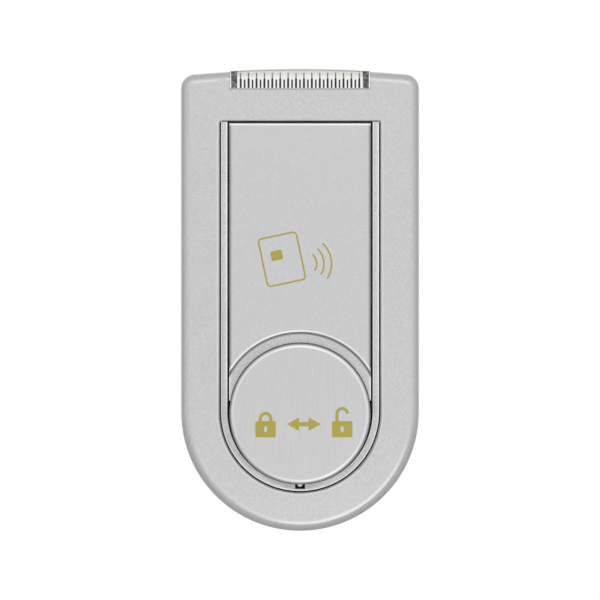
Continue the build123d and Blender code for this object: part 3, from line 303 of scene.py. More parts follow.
class Finish(Nodes):
    """A material with its main shader, and short ways to add what its look needs."""

    def __init__(self, name, tint, roughness, metallic=0.0):
        self.material = bpy.data.materials.new(name)
        self.material.use_nodes = True
        super().__init__(self.material.node_tree)
        self.shader = self.tree.nodes["Principled BSDF"]
        self.give("Base Color", (*tint, 1.0))
        self.give("Roughness", roughness)
        self.give("Metallic", metallic)
        self.material.diffuse_color = (*tint, 1.0)

    def give(self, label, value):
        """Sets or links one of the main shader's inputs."""
        self.feed(value, self.shader.inputs[label])

    def place(self):
        """The surface's own place, in metres."""
        return self.node("ShaderNodeTexCoord").outputs["Object"]

    def axes(self):
        """How far across, how deep and how high the surface's own place is."""
        return self.parts(self.place())

    def radius(self, foot=None):
        """How far the surface is from the knob's axis, or from the middle of a U that is round at its foot."""
        across, _, height = self.axes()
        if foot is not None:
            height = self.maths("MINIMUM", self.minus(height, foot), 0.0)
        flat = self.vector(across, 0.0, height)
        return self.node("ShaderNodeVectorMath", {0: flat}, operation="LENGTH").outputs["Value"]

    def step(self, value, start, end, low=0.0, high=1.0):
        """Goes from low to high as value goes from start to end."""
        return self.node("ShaderNodeMapRange", {
            "Value": value, "From Min": start, "From Max": end, "To Min": low, "To Max": high,
        }, clamp=True).outputs["Result"]

    def within(self, value, low, high, soft):
        """1 between low and high and 0 outside them, with edges this soft."""
        rise = self.step(value, low - soft / 2, low + soft / 2)
        fall = self.step(value, high + soft / 2, high - soft / 2)
        return self.times(rise, fall)

    def mottle(self, size, low=0.3, high=0.7, detail=3.0, roughness=0.6):
        """Lumps of about this size, in metres: 0 where their noise is under low, 1 where it is over high."""
        noise = self.node("ShaderNodeTexNoise", {
            "Vector": self.place(), "Scale": 1.0 / size, "Detail": detail, "Roughness": roughness,
        }).outputs["Fac"]
        return self.step(noise, low, high)

    def mix(self, amount, first, second):
        """Mixes two colours. The node's sockets 6 and 7 and its output 2 are the ones for colours."""
        made = self.node("ShaderNodeMix", {"Factor": amount}, data_type="RGBA")
        for index, tone in ((6, first), (7, second)):
            self.feed(tone if isinstance(tone, bpy.types.NodeSocket) else (*tone, 1.0), made.inputs[index])
        return made.outputs[2]

    def paint(self, value):
        self.give("Base Color", value)

    def bump(self, value, height, strength=1.0):
        """Raises the surface by up to this height, in metres."""
        made = self.node("ShaderNodeBump", {"Height": value, "Distance": height, "Strength": strength})
        self.give("Normal", made.outputs["Normal"])


def darker(tint, amount):
    return tuple(channel * (1.0 - amount) for channel in tint)


def lighter(tint, amount):
    return tuple(min(1.0, channel * (1.0 + amount)) for channel in tint)


def silver_paint(name, tint, finishes, share_of_grain=1.0):
    """A finish of silver paint with a fine metallic grain, and its colour."""
    made = Finish(name, tint, finishes.paint_roughness, finishes.paint_metal)
    grain = made.mottle(finishes.grain, roughness=0.7)
    made.bump(grain, 0.004 * MM, 0.6)
    depth = finishes.grain_depth * share_of_grain
    return made, made.mix(grain, darker(tint, depth), lighter(tint, depth / 2))


def cover_finish(finishes, panel):
    """The cover's paint and textured ledge, with painted highlights along the raised panel's edges, painted
    shade along its sides and a painted shadow line under its arc edge.
    """
    tint, edge = finishes.cover, panel.painted_highlight_width
    made, face = silver_paint("cover_paint", tint, finishes, 0.6)
    across, depth, height = made.axes()
    radius = made.radius()
    side = made.maths("ABSOLUTE", across)
    low = made.step(depth, COVER_LOW.y + panel.step * 0.8, COVER_LOW.y + panel.step * 0.95)
    coarse = made.mottle(0.55 * MM, 0.35, 0.65, detail=2.0)
    face = made.mix(low, face, made.mix(coarse, darker(tint, 0.16), lighter(tint, 0.1)))
    # Painted shade: the raised panel darkens towards its sides, as its rounded edges would in shade
    shade = made.times(made.step(side, panel.half - panel.fade, panel.half), 0.75)
    face = made.mix(made.times(shade, made.minus(1.0, low)), face, darker(tint, 0.85))
    # Painted highlights: the panel's arc edge, its sides beside the ledge and its top edge are lightened to
    # pale grey
    arc_edge = made.within(radius, panel.arc + 0.35 * MM, panel.arc + 0.4 * MM + edge, 0.15 * MM)
    side_edge = made.times(made.step(side, panel.half - edge, panel.half - edge + 0.1 * MM), low)
    top_edge = made.step(height, panel.top - edge - 0.3 * MM, panel.top - edge - 0.2 * MM)
    bright = made.maths("MAXIMUM", made.maths("MAXIMUM", arc_edge, side_edge), top_edge)
    face = made.mix(bright, face, grey(0.86))
    # Painted shadow: a dark grey line on the ledge just under the raised panel's arc edge
    joint = made.within(radius, panel.arc - panel.joint, panel.arc + 0.15 * MM, 0.3 * MM)
    made.paint(made.mix(joint, face, grey(0.24)))
    return made.material


def housing_finish(finishes, panel):
    """The housing's paint, with painted highlights beside the window and on the lower front rounding, and
    painted shade on its outer round edge.
    """
    tint, outside = finishes.silver, HOUSING_HIGH.x
    made, face = silver_paint("silver_paint", tint, finishes)
    _, depth, height = made.axes()
    reach = made.radius(panel.window_foot)
    # Painted highlight: a band just outside the window's edge is lightened beside the window
    rim = made.within(reach, panel.window_half + 0.2 * MM, panel.window_half + 0.9 * MM, 0.4 * MM)
    beside = made.step(height, panel.top + 0.8 * MM, panel.top + 0.4 * MM)
    # Painted highlight: a band just inside the outer edge of the lower part is lightened
    brow_highlight = made.within(reach, outside - 3.2 * MM, outside - 2.1 * MM, 0.5 * MM)
    lower = made.step(height, -4 * MM, -16 * MM)
    # Painted shade: the front of the housing's outer round edge is darkened
    shaded_round_edge = made.step(reach, outside - 1.6 * MM, outside - 0.2 * MM)
    front = made.step(depth, HOUSING_LOW.y + 5 * MM, HOUSING_LOW.y + 3.5 * MM)
    face = made.mix(made.times(rim, beside), face, lighter(tint, 0.12))
    face = made.mix(made.times(brow_highlight, lower), face, lighter(tint, 0.1))
    made.paint(made.mix(made.times(shaded_round_edge, front), face, darker(tint, 0.22)))
    return made.material


def knob_finish(finishes, sizes):
    """The knob's paint with faint upright brush marks, a painted highlight on the slope and painted shade on
    the round edge.
    """
    tint, mark_width, mark_length = finishes.silver, 0.35 * MM, 9 * MM
    made, face = silver_paint("knob_paint", tint, finishes, 0.6)
    stretched = made.node("ShaderNodeMapping", {
        "Vector": made.place(), "Scale": (1.0 / mark_width, 1.0 / mark_width, 1.0 / mark_length),
    }).outputs["Vector"]
    noise = made.node("ShaderNodeTexNoise", {"Vector": stretched, "Scale": 1.0, "Detail": 2.0})
    marks = made.step(noise.outputs["Fac"], 0.45, 0.7)
    face = made.mix(made.times(marks, 0.5), face, darker(tint, 0.12))
    radius = made.radius()
    slope_end = sizes.slope_start + sizes.slope_width
    # Painted highlight: the slope round the knob's face is lightened
    slope = made.within(radius, sizes.slope_start, slope_end, 0.15 * MM)
    face = made.mix(slope, face, lighter(tint, 0.2))
    # Painted shade: the knob's round edge beyond the slope is darkened
    shaded_round_edge = made.step(radius, slope_end + 0.05 * MM, slope_end + 0.35 * MM)
    front = made.step(made.axes()[1], CAP_LOW.y + 1.1 * MM, CAP_LOW.y + 0.8 * MM)
    made.paint(made.mix(made.times(shaded_round_edge, front), face, darker(tint, 0.35)))
    return made.material


def strip_finish(finishes, panel, strip):
    """The strip's coarse grain with painted highlights along its edges, and the near black plate that its
    grooves show, which is partly painted shade.
    """
    tint, roughness, groove_roughness = finishes.strip, 0.35, 0.95
    made = Finish("strip_grain", tint, roughness, finishes.paint_metal)
    outer = panel.window_half - strip.gap
    inner = outer - strip.width
    reach = made.radius(panel.window_foot)
    # Painted highlight: the strip is lightened along both edges, outside its middle
    middle = made.within(reach, inner + strip.shine, outer - strip.shine, 0.1 * MM)
    grain = made.mottle(0.5 * MM, roughness=0.7)
    face = made.mix(grain, darker(tint, 0.26), lighter(tint, 0.06))
    face = made.mix(middle, lighter(tint, 0.32), face)
    # Below the strip the plate is near black: a black moulded plate, which is also painted shade for the dark
    # of the grooves
    deep = made.step(made.axes()[1], HOUSING_LOW.y + 1.0 * MM, HOUSING_LOW.y + 1.5 * MM)
    made.paint(made.mix(deep, face, finishes.groove))
    made.give("Metallic", made.step(deep, 0.0, 1.0, finishes.paint_metal, 0.0))
    made.give("Roughness", made.step(deep, 0.0, 1.0, roughness, groove_roughness))
    made.bump(grain, 0.02 * MM, 0.5)
    return made.material


def clear_finish(finishes, bar):
    """The light guide: whitish clear plastic, greyer at the top, with speckled dark bands at its ends, a
    painted shade line along its crown, a painted shadow line at its foot, and painted light that makes it
    shine.
    """
    made = Finish("clear_guide", finishes.clear, 0.16)
    made.give("IOR", 1.49)
    made.give("Coat Weight", 0.3)
    across, depth, height = made.axes()
    foot = GUIDE_HIGH.z - bar.bar_height + bar.foot
    dark_top = foot + bar.dark_length
    cloud = made.mottle(0.5 * MM, 0.35, 0.65, detail=2.0, roughness=0.5)
    upper = made.mix(cloud, (0.76, 0.75, 0.71), (0.92, 0.91, 0.89))
    body = made.mix(made.step(height, dark_top - 0.2 * MM, dark_top + 0.4 * MM), finishes.clear, upper)
    # Painted shadow: the thin strip below the grooves' foot, along the bar's lower edge, is grey
    above_foot = made.step(height, foot - 0.1 * MM, foot)
    body = made.mix(above_foot, (0.42, 0.42, 0.41), body)
    # Painted shade: a darker line on the bar's rounded crown
    crown = made.within(depth, CROWN_BACK - bar.rim, CROWN_BACK, 0.4 * MM)
    body = made.mix(crown, body, (0.40, 0.39, 0.36))
    end = GUIDE_HIGH.x - bar.end_margin
    band = made.within(made.maths("ABSOLUTE", across), end - bar.end_band, end, 0.15 * MM)
    speckle = made.mottle(1.1 * MM, 0.45, 0.65, detail=2.0)
    dark = made.mix(speckle, grey(0.004), (0.28, 0.28, 0.27))
    shown = made.mix(made.times(band, above_foot), body, dark)
    made.paint(shown)
    # Painted light: the bar's colours are also given off as light, so it shines though no lamp lights it
    made.give("Emission Color", shown)
    made.give("Emission Strength", bar.painted_glow)
    return made.material


def foam_finish(finishes):
    """Closed foam with small pores."""
    tint, pore = tuple(finishes.foam), 0.7 * MM
    made = Finish("gasket_foam", tint, 0.95)
    cells = made.node("ShaderNodeTexVoronoi", {"Vector": made.place(), "Scale": 1.0 / pore})
    pores = cells.outputs["Distance"]
    made.paint(made.mix(made.step(pores, 0.1, 0.7), darker(tint, 0.5), lighter(tint, 0.8)))
    made.bump(pores, 0.15 * MM, 0.7)
    return made.material


def mottled(name, tint, roughness, metallic, size, tones, gloss):
    """A faint mottle between two tones, and between two shares of the roughness."""
    made = Finish(name, tint, roughness, metallic)
    cloud = made.mottle(size)
    made.paint(made.mix(cloud, *tones))
    made.give("Roughness", made.step(cloud, 0.0, 1.0, roughness * gloss[0], roughness * gloss[1]))
    made.bump(cloud, 0.003 * MM, 0.5)
    return made.material


def bare_metal(name, tint, roughness, size=0.25 * MM):
    """Plated, turned or cast metal, duller where it is darker."""
    return mottled(name, tint, roughness, 1.0, size, (darker(tint, 0.12), tint), (1.2, 0.9))


def moulded(name, tint, roughness, mottle=0.12, metallic=0.0, size=0.5 * MM):
    """Moulded plastic or print, glossier where it is darker."""
    tones = darker(tint, mottle), lighter(tint, mottle / 2)
    return mottled(name, tint, roughness, metallic, size, tones, (0.9, 1.1))


def board_finish():
    """Green solder mask over the faint lines of the board's tracks."""
    tint = (0.01, 0.09, 0.04)
    made = Finish("board_green", tint, 0.35)
    across, _, height = made.axes()
    tracks = made.node("ShaderNodeTexBrick", {
        "Vector": made.vector(across, height), "Scale": 1.0 / MM,
        "Mortar Size": 0.1, "Brick Width": 6.0, "Row Height": 0.9,
    }, offset=0.37).outputs["Fac"]
    made.paint(made.mix(tracks, tint, (0.03, 0.17, 0.08)))
    made.bump(tracks, 0.03 * MM, 0.5)
    return made.material


def winding_finish():
    """Enamelled copper wire, wound in flat turns along the coil's four sides."""
    tint, half_wire = (0.62, 0.25, 0.10), 0.15 * MM
    made = Finish("coil_copper", tint, 0.35, 1.0)
    across, _, height = made.axes()
    middle = (COIL_LOW.z + COIL_HIGH.z) / 2
    sideways = made.minus(made.maths("ABSOLUTE", across), COIL_HIGH.x)
    upward = made.minus(made.maths("ABSOLUTE", made.minus(height, middle)), COIL_HIGH.z - middle)
    turns = made.maths("PINGPONG", made.maths("MAXIMUM", sideways, upward), half_wire)
    wire = made.step(turns, 0.0, 0.1 * MM)
    made.paint(made.mix(wire, darker(tint, 0.7), tint))
    made.bump(wire, 0.05 * MM)
    return made.material


def sleeve_finish():
    """The printed sleeve of a battery cell, with a copper ring near each end."""
    tint, copper = (0.03, 0.08, 0.16), (0.50, 0.22, 0.08)
    made = Finish("cell_wrap", tint, 0.3)
    height = made.axes()[2]
    rings = [made.within(height, foot * MM, (foot + 3) * MM, 0.2 * MM) for foot in (47, 78)]
    made.paint(made.mix(made.maths("MAXIMUM", *rings), tint, copper))
    return made.material


def piece_materials(scene):
    """One material for each finish slot of the record."""
    finishes, panel = scene.lock_finishes, scene.lock_panel
    return {
        "silver_paint": housing_finish(finishes, panel),
        "cover_paint": cover_finish(finishes, panel),
        "trim_grey": strip_finish(finishes, panel, scene.lock_strip),
        "clear_plastic": clear_finish(finishes, scene.lock_light_bar),
        "board_green": board_finish(),
        "coil_copper": winding_finish(),
        "seal_rubber": foam_finish(finishes),
        "cell_wrap": sleeve_finish(),
        **{name: bare_metal(name, *look) for name, look in METALS.items()},
        **{name: moulded(name, *look) for name, look in PLASTICS.items()},
    }


# Objects


def linked(name, data):
    """A new object of the scene that holds this data."""
    made = bpy.data.objects.new(name, data)
    bpy.context.scene.collection.objects.link(made)
    return made


def put_on(obj, material):
    obj.data.materials.clear()
    obj.data.materials.append(material)


def final_mesh(obj):
    """The mesh that an object's curve or modifiers make."""
    bpy.context.view_layer.update()
    return bpy.data.meshes.new_from_object(obj.evaluated_get(bpy.context.evaluated_depsgraph_get()))


def smooth_piece(name, shape, material):
    """An object from a shape, shaded smooth."""
    mesh = bpy.data.meshes.new(name)
    shape.to_mesh(mesh)
    shape.free()
    mesh.shade_smooth()
    piece = linked(name, mesh)
    put_on(piece, material)
    return piece


# Geometry Nodes


class Pattern(Nodes):
    """A Geometry Nodes tree, whose named inputs hold a piece's sizes."""

    def __init__(self, name, sizes):
        super().__init__(bpy.data.node_groups.new(name, "GeometryNodeTree"))
        face = self.tree.interface
        face.new_socket("Geometry", in_out="OUTPUT", socket_type="NodeSocketGeometry")
        self.inputs = {}
        for label, value in sizes.items():
            kind = "NodeSocketInt" if isinstance(value, int) else "NodeSocketFloat"
            self.inputs[label] = face.new_socket(label, in_out="INPUT", socket_type=kind).identifier
        self.inputs["Material"] = face.new_socket(
            "Material", in_out="INPUT", socket_type="NodeSocketMaterial").identifier
        self.sizes = sizes
        self.source = self.node("NodeGroupInput")
        self.given = [self.source.outputs[label] for label in sizes]

    def end(self, last):
        """Closes the tree after its last node, as every tree here ends: real copies with their material."""
        real = self.node("GeometryNodeRealizeInstances", {"Geometry": last.outputs[0]}).outputs[0]
        material = self.source.outputs["Material"]
        painted = self.node("GeometryNodeSetMaterial", {"Geometry": real, "Material": material})
        self.node("NodeGroupOutput", {0: painted.outputs[0]})

    def make(self, name, material, body, slot=None, **changes):
        """A plain mesh from the tree, with the sizes that this piece changes, riding on its body."""
        holder = linked(name, bpy.data.meshes.new(name))
        modifier = holder.modifiers.new(self.tree.name, "NODES")
        modifier.node_group = self.tree
        for label, value in {**self.sizes, **changes}.items():
            modifier[self.inputs[label]] = value
        modifier[self.inputs["Material"]] = material
        mesh = final_mesh(holder)
        holder.modifiers.clear()
        holder.data = mesh
        if not mesh.polygons:
            raise RuntimeError(f"{name} came out empty")
        put_on(holder, material)
        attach(holder, body)
        return holder


def row_of_bars():
    """Upright bars in a row along X, such as the dark inlays of the light bar's grooves."""
    tree = Pattern("row_of_bars", {
        "Count": 3, "Pitch": 2 * MM, "Width": 1 * MM, "Depth": 1 * MM, "Height": 5 * MM,
        "Foot": 0.0, "Front": 0.0,
    })
    count, pitch, width, depth, height, foot, front = tree.given
    start = tree.times(tree.times(tree.minus(count, 1.0), pitch), -0.5)
    inward = tree.plus(front, tree.times(depth, 0.5))
    middle = tree.plus(foot, tree.times(height, 0.5))
    line = tree.node("GeometryNodeMeshLine", {
        "Count": count, "Start Location": tree.vector(start, inward, middle), "Offset": tree.vector(pitch),
    }, mode="OFFSET")
    bar = tree.node("GeometryNodeMeshCube", {"Size": tree.vector(width, depth, height)})
    tree.end(tree.node("GeometryNodeInstanceOnPoints", {
        "Points": line.outputs[0], "Instance": bar.outputs[0],
    }))
    return tree


def threaded_tube():
    """A tube along Y with a helical thread and two flats outside and a plain bore inside."""
    tree = Pattern("threaded_tube", {
        "Radius": 10 * MM, "Thread": 0.5 * MM, "Pitch": 1 * MM, "Flat": 8 * MM, "Bore": 4 * MM,
        "Start": 0.0, "End": 20 * MM, "Rows": 100, "Steps": 96,
    })
    radius, thread, pitch, flat, bore, start, end, rows, steps = tree.given
    flank, root = 2.6, 0.15  # how steep the thread's flanks are, and how wide its flat root
    # The thread takes all rows but the last three: the bore's far end, its near end and the first row again
    grid = tree.node("GeometryNodeMeshGrid", {
        "Size X": 1.0, "Size Y": 1.0, "Vertices X": rows, "Vertices Y": tree.plus(steps, 1.0),
    })
    place = tree.parts(tree.node("GeometryNodeInputPosition").outputs[0])
    row = tree.times(tree.plus(place["X"], 0.5), tree.minus(rows, 1.0))
    turn = tree.plus(place["Y"], 0.5)
    last = tree.minus(rows, 4.0)
    before_bore = tree.maths("LESS_THAN", row, tree.plus(last, 1.5))
    past_thread = tree.maths("GREATER_THAN", row, tree.plus(last, 0.5))
    before_close = tree.maths("LESS_THAN", row, tree.plus(last, 2.5))
    inside = tree.times(past_thread, before_close)
    reach = tree.minus(end, start)
    used = tree.maths("MINIMUM", tree.maths("DIVIDE", row, last), 1.0)
    depth = tree.times(tree.times(used, reach), before_bore)
    wave = tree.maths("PINGPONG", tree.plus(tree.maths("DIVIDE", depth, pitch), turn), 0.5)
    crest = tree.kept(tree.minus(tree.times(wave, flank), root), 0.0, 1.0)
    left = tree.maths("DIVIDE", tree.minus(reach, depth), thread)
    lead = tree.maths("MAXIMUM", tree.minus(1.0, left), 0.0)
    outside = tree.minus(radius, tree.times(tree.maths("MAXIMUM", crest, lead), thread))
    angle = tree.times(turn, math.tau)
    cosine = tree.maths("COSINE", angle)
    sine = tree.maths("SINE", angle)

    def turned_in(outer, inner):
        """The outer measure on the thread, and the inner one in the bore."""
        return tree.plus(outer, tree.times(inside, tree.minus(inner, outer)))

    x = turned_in(tree.times(outside, cosine), tree.times(bore, cosine))
    up = tree.kept(tree.times(outside, sine), tree.times(flat, -1.0), flat)
    z = turned_in(up, tree.times(bore, sine))
    moved = tree.node("GeometryNodeSetPosition", {
        "Geometry": grid.outputs["Mesh"], "Position": tree.vector(x, tree.plus(start, depth), z),
    })
    tree.end(tree.node("GeometryNodeMergeByDistance", {
        "Geometry": moved.outputs[0], "Distance": 0.001 * MM,
    }))
    return tree


# Edges


def merged_copy(node):
    """A copy of a solid's mesh, with its loose triangles joined into whole faces."""
    shape = bmesh.new()
    shape.from_mesh(frame["nodes"][node].data)
    bmesh.ops.remove_doubles(shape, verts=shape.verts, dist=SAME_PLACE)
    bmesh.ops.dissolve_limit(shape, angle_limit=math.radians(0.5), verts=shape.verts, edges=shape.edges)
    return shape


def bevelled(name, shape, material, width, body):
    """Makes the shape a piece whose sharp edges carry a small bevel."""
    piece = smooth_piece(name, shape, material)
    bevel = piece.modifiers.new("edges", "BEVEL")
    bevel.width = width
    bevel.segments = 2
    bevel.limit_method = "ANGLE"
    bevel.angle_limit = SHARP
    bevel.harden_normals = True
    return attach(piece, body)


def turned(outline, steps):
    """A shape turned on the knob's axis, from pairs of radius and depth that run from face to inside."""
    shape = bmesh.new()
    rings = []
    for radius, depth in outline:
        angles = [math.tau * step / steps for step in range(steps if radius else 1)]
        rings.append([shape.verts.new((radius * math.cos(a), depth, radius * math.sin(a))) for a in angles])
    for near, far in zip(rings, rings[1:]):
        for step in range(steps):
            after = (step + 1) % steps
            corners = [near[step % len(near)], near[after % len(near)]]
            corners += [far[after % len(far)], far[step % len(far)]]
            shape.faces.new(list(dict.fromkeys(corners)))
    bmesh.ops.recalc_face_normals(shape, faces=shape.faces)
    return shape


# Flat signs, drawn in millimetres


def rounded_box(centre, width, height, corner, turn=0.0, steps=6):
    """The outline of a box with round corners, turned about its middle."""
    points = []
    for index, (side, rise) in enumerate(((1, 1), (-1, 1), (-1, -1), (1, -1))):
        for step in range(steps + 1):
            angle = math.radians(90 * index + 90 * step / steps)
            points.append((side * (width / 2 - corner) + corner * math.cos(angle),
                           rise * (height / 2 - corner) + corner * math.sin(angle)))
    cos, sin = math.cos(turn), math.sin(turn)
    return [(centre[0] + x * cos - z * sin, centre[1] + x * sin + z * cos) for x, z in points]


def arc_band(centre, inner, outer, start, end, steps=20):
    """The outline of part of a ring, between two angles in degrees."""
    def along(radius, first, last):
        for step in range(steps + 1):
            angle = math.radians(first + (last - first) * step / steps)
            yield centre[0] + radius * math.cos(angle), centre[1] + radius * math.sin(angle)
    return list(along(outer, start, end)) + list(along(inner, end, start))


def padlock(x, z, width, line, lift):
    """A padlock with its keyhole; a shackle that is lifted by some length is open at the right."""
    height = width * 0.72
    middle = z - width * 0.22
    corner_steps, arc_steps = 6, 20
    box = rounded_box((x, middle), width * 0.9, height, width * 0.08, steps=corner_steps)
    right, left = box[:corner_steps + 1], box[corner_steps + 1:]
    keyhole = rounded_box((x, middle), line * 0.9, width * 0.26, line * 0.4)
    top = middle + height / 2
    reach = width * 0.30
    shackle = arc_band((x, top + width * 0.1 + lift), reach - line, reach, 0, 180, arc_steps)
    outer, inner = shackle[:arc_steps + 1], shackle[arc_steps + 1:]
    if lift:
        return [right + [(x - reach + line, top)] + inner + outer + [(x - reach, top)] + left, keyhole]
    body = right + [(x + reach, top)] + outer + [(x - reach, top)] + left
    hole = [(x - reach + line, top)] + inner + [(x + reach - line, top)]
    return [body, hole, keyhole]


def double_arrow(x, z, width, height):
    """A flat arrow with a head at either end."""
    left, right = x - width / 2, x + width / 2
    head, half, stem = height * 0.9, height / 2, height * 0.16
    return [[
        (left, z), (left + head, z + half), (left + head, z + stem),
        (right - head, z + stem), (right - head, z + half), (right, z),
        (right - head, z - half), (right - head, z - stem),
        (left + head, z - stem), (left + head, z - half),
    ]]


def printed_sign(name, loops, face, film, material, body):
    """A thin film of print on a face that looks towards the user; nested loops leave holes."""
    drawing = bpy.data.curves.new(name, "CURVE")
    drawing.dimensions = "2D"
    drawing.fill_mode = "BOTH"
    drawing.extrude = film / 2
    for loop in loops:
        spline = drawing.splines.new("POLY")
        spline.points.add(len(loop) - 1)
        for point, (x, z) in zip(spline.points, loop):
            point.co = (x * MM, z * MM, 0.0, 1.0)
        spline.use_cyclic_u = True
    drawn = linked(name + "_drawing", drawing)
    mesh = final_mesh(drawn)
    bpy.data.objects.remove(drawn)
    mesh.transform(Matrix.Translation((0.0, face, 0.0)) @ Matrix.Rotation(math.pi / 2, 4, "X"))
    sign = linked(name, mesh)
    put_on(sign, material)
    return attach(sign, body)


# Operators


class LOCK_OT_finishes(bpy.types.Operator):
    """Puts each solid's finish on it"""

    bl_idname = "cabinet_lock.finishes"
    bl_label = "Finishes"

    def execute(self, context):
        materials = piece_materials(context.scene)
        for entry in frame["record"]["subparts"]:
            put_on(frame["nodes"][entry["node"]], materials[entry["material_slot"]])
        return {"FINISHED"}


class LOCK_OT_light_bar(bpy.types.Operator):
    """Fills the light bar's grooves with dark bars, painted shade that stands in for the dark the grooves show
    """

    bl_idname = "cabinet_lock.light_bar"
    bl_label = "Light bar"

    def execute(self, context):
        bar = context.scene.lock_light_bar
        edge = GUIDE_HIGH.z - bar.bar_height
        pitch = 2 * (GUIDE_HIGH.x - bar.margin) / (bar.grooves - 1)
        proud, roughness = 0.02 * MM, 0.6
        # Painted shade: black, smoke grey and vein grey bars stand in for the dark of the grooves
        black = moulded("groove_black", grey(0.004), roughness)
        smoke = moulded("groove_smoke", grey(0.035), roughness)
        vein = moulded("groove_vein", (0.16, 0.16, 0.155), roughness)
        longer = (bar.grooves + 1) // 2
        shorter = bar.grooves - longer
        smoke_length = bar.dark_length - 0.3 * MM
        rows = (
            ("black_grooves", black, longer, bar.dark_width, bar.foot, bar.dark_length),
            ("smoke_grooves", smoke, shorter, bar.smoke_width, bar.foot, smoke_length),
            ("groove_veins", vein, longer, bar.vein_width, bar.foot + bar.dark_length, bar.vein_length),
        )
        bars = row_of_bars()
        for name, material, count, width, foot, height in rows:
            bars.make(
                name, material, "lock_body", Count=count, Pitch=2 * pitch, Width=width, Depth=bar.depth,
                Foot=edge + foot, Front=GUIDE_LOW.y - proud, Height=height,
            )
        return {"FINISHED"}


class LOCK_OT_strip(bpy.types.Operator):
    """Bevels the edges of the strip round the cover, and adds the index tooth below the knob"""

    bl_idname = "cabinet_lock.strip"
    bl_label = "Strip"

    def execute(self, context):
        sizes = context.scene.lock_strip
        grain = bpy.data.materials["strip_grain"]
        shape = merged_copy("window_trim")
        self.fit(shape, sizes)
        made = bevelled("grained_strip", shape, grain, sizes.edge, "lock_body")
        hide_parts("window_trim")
        self.tooth(sizes, grain)
        return {"FINISHED"}

    def fit(self, shape, sizes):
        """Takes the strip's two ends up to the window's edge, and the notch's foot up a little."""
        face, near = TRIM_LOW.y, 0.1 * MM
        end_depth = 2 * MM
        notch_half, notch_top, notch_depth = 2 * MM, -22.9 * MM, 1.3 * MM
        front = [vert.co for vert in shape.verts if vert.co.y < face + near]
        top = max(z for x, y, z in front)
        foot = max(z for x, y, z in front if abs(x) < notch_half and z < notch_top)
        for vert in shape.verts:
            x, y, z = vert.co
            if abs(z - top) < near / 2 and y < face + end_depth:
                vert.co.z += sizes.top_rise
            elif abs(x) < notch_half and y < face + notch_depth and abs(z - foot) < near:
                vert.co.z += sizes.notch_rise

    def tooth(self, sizes, material):
        """The pointer below the knob: a small tooth that stands in the strip's notch."""
        upper, lower = sizes.upper_width / 2, sizes.lower_width / 2
        top, tip = sizes.tooth_top, sizes.tooth_top - sizes.tooth_reach
        outline = [(-lower, tip), (lower, tip), (upper, top), (-upper, top)]
        face = TRIM_LOW.y
        shape = bmesh.new()
        front = [shape.verts.new((x, face, z)) for x, z in outline]
        back = [shape.verts.new((x, face + sizes.thickness, z)) for x, z in outline]
        shape.faces.new(front)
        shape.faces.new(reversed(back))
        for index in range(len(outline)):
            after = (index + 1) % len(outline)
            shape.faces.new((front[after], front[index], back[index], back[after]))
        bmesh.ops.recalc_face_normals(shape, faces=shape.faces)
        tooth = bevelled("index_tooth", shape, material, sizes.tooth_reach / 6, "lock_body")


class LOCK_OT_knob(bpy.types.Operator):
    """Turns the knob's cap, with a narrow slope and a round edge along its rim"""

    bl_idname = "cabinet_lock.knob"
    bl_label = "Knob"

    def execute(self, context):
        sizes = context.scene.lock_knob
        shape = turned(self.outline(sizes), sizes.steps)
        cap = smooth_piece("turned_cap", shape, knob_finish(context.scene.lock_finishes, sizes))
        cap.data.set_sharp_from_angle(angle=SHARP)
        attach(cap, "knob")
        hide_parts("knob_cap")
        return {"FINISHED"}

    def outline(self, sizes):
        """Pairs of radius and depth, from the middle of the cap's face round to the middle of its inside."""
        radius, face, back = CAP_HIGH.x, CAP_LOW.y, CAP_HIGH.y
        slope = math.radians(sizes.slope_angle)
        start = sizes.slope_start
        end, depth = start + sizes.slope_width, face + sizes.slope_width * math.tan(slope)
        outline = [(0.0, face), (start - 0.1 * MM, face), (start, face), (end, depth)]
        for step in range(1, sizes.edge_steps + 1):
            tilt = slope + (math.pi / 2 - slope) * step / sizes.edge_steps
            out = (math.sin(tilt) - math.sin(slope)) / (1.0 - math.sin(slope))
            down = (math.cos(slope) - math.cos(tilt)) / math.cos(slope)
            outline.append((end + (radius - end) * out, depth + sizes.edge_depth * down))
        inner, ceiling = radius - sizes.skirt, face + sizes.thickness
        return outline + [(radius, back), (inner, back), (inner, ceiling), (0.0, ceiling)]


class LOCK_OT_barrel(bpy.types.Operator):
    """Cuts the barrel's thread behind its flange"""

    bl_idname = "cabinet_lock.barrel"
    bl_label = "Barrel"

    def execute(self, context):
        thread = context.scene.lock_thread
        front = BARREL_LOW.y + thread.flange - thread.overlap
        rows_a_turn, closing_rows = 8, 3
        rows = int((BARREL_HIGH.y - front) / thread.pitch * rows_a_turn) + closing_rows
        made = threaded_tube().make(
            "threaded_barrel", bpy.data.materials["barrel_nickel"], "lock_body", "barrel_nickel",
            Radius=thread.radius, Thread=thread.depth, Pitch=thread.pitch, Flat=thread.flat,
            Bore=thread.bore, Start=front, End=BARREL_HIGH.y, Rows=rows, Steps=thread.steps,
        )
        shape = self.flange(BARREL_LOW.y + thread.flange - thread.overlap / 4)
        shape.from_mesh(made.data)
        shape.to_mesh(made.data)
        shape.free()
        made.data.shade_smooth()
        made.data.set_sharp_from_angle(angle=math.radians(32))
        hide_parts("barrel")
        return {"FINISHED"}

    def flange(self, back):
        """The solid's flange alone, cut off at this depth and closed."""
        shape = merged_copy("barrel")
        inward = (0.0, 1.0, 0.0)
        parts = shape.verts[:] + shape.edges[:] + shape.faces[:]
        cut = bmesh.ops.bisect_plane(
            shape, geom=parts, dist=SAME_PLACE, plane_co=(0.0, back, 0.0), plane_no=inward, clear_outer=True,
        )
        rims = [part for part in cut["geom_cut"] if isinstance(part, bmesh.types.BMEdge)]
        bmesh.ops.triangle_fill(shape, use_beauty=True, edges=rims, normal=inward)
        return shape


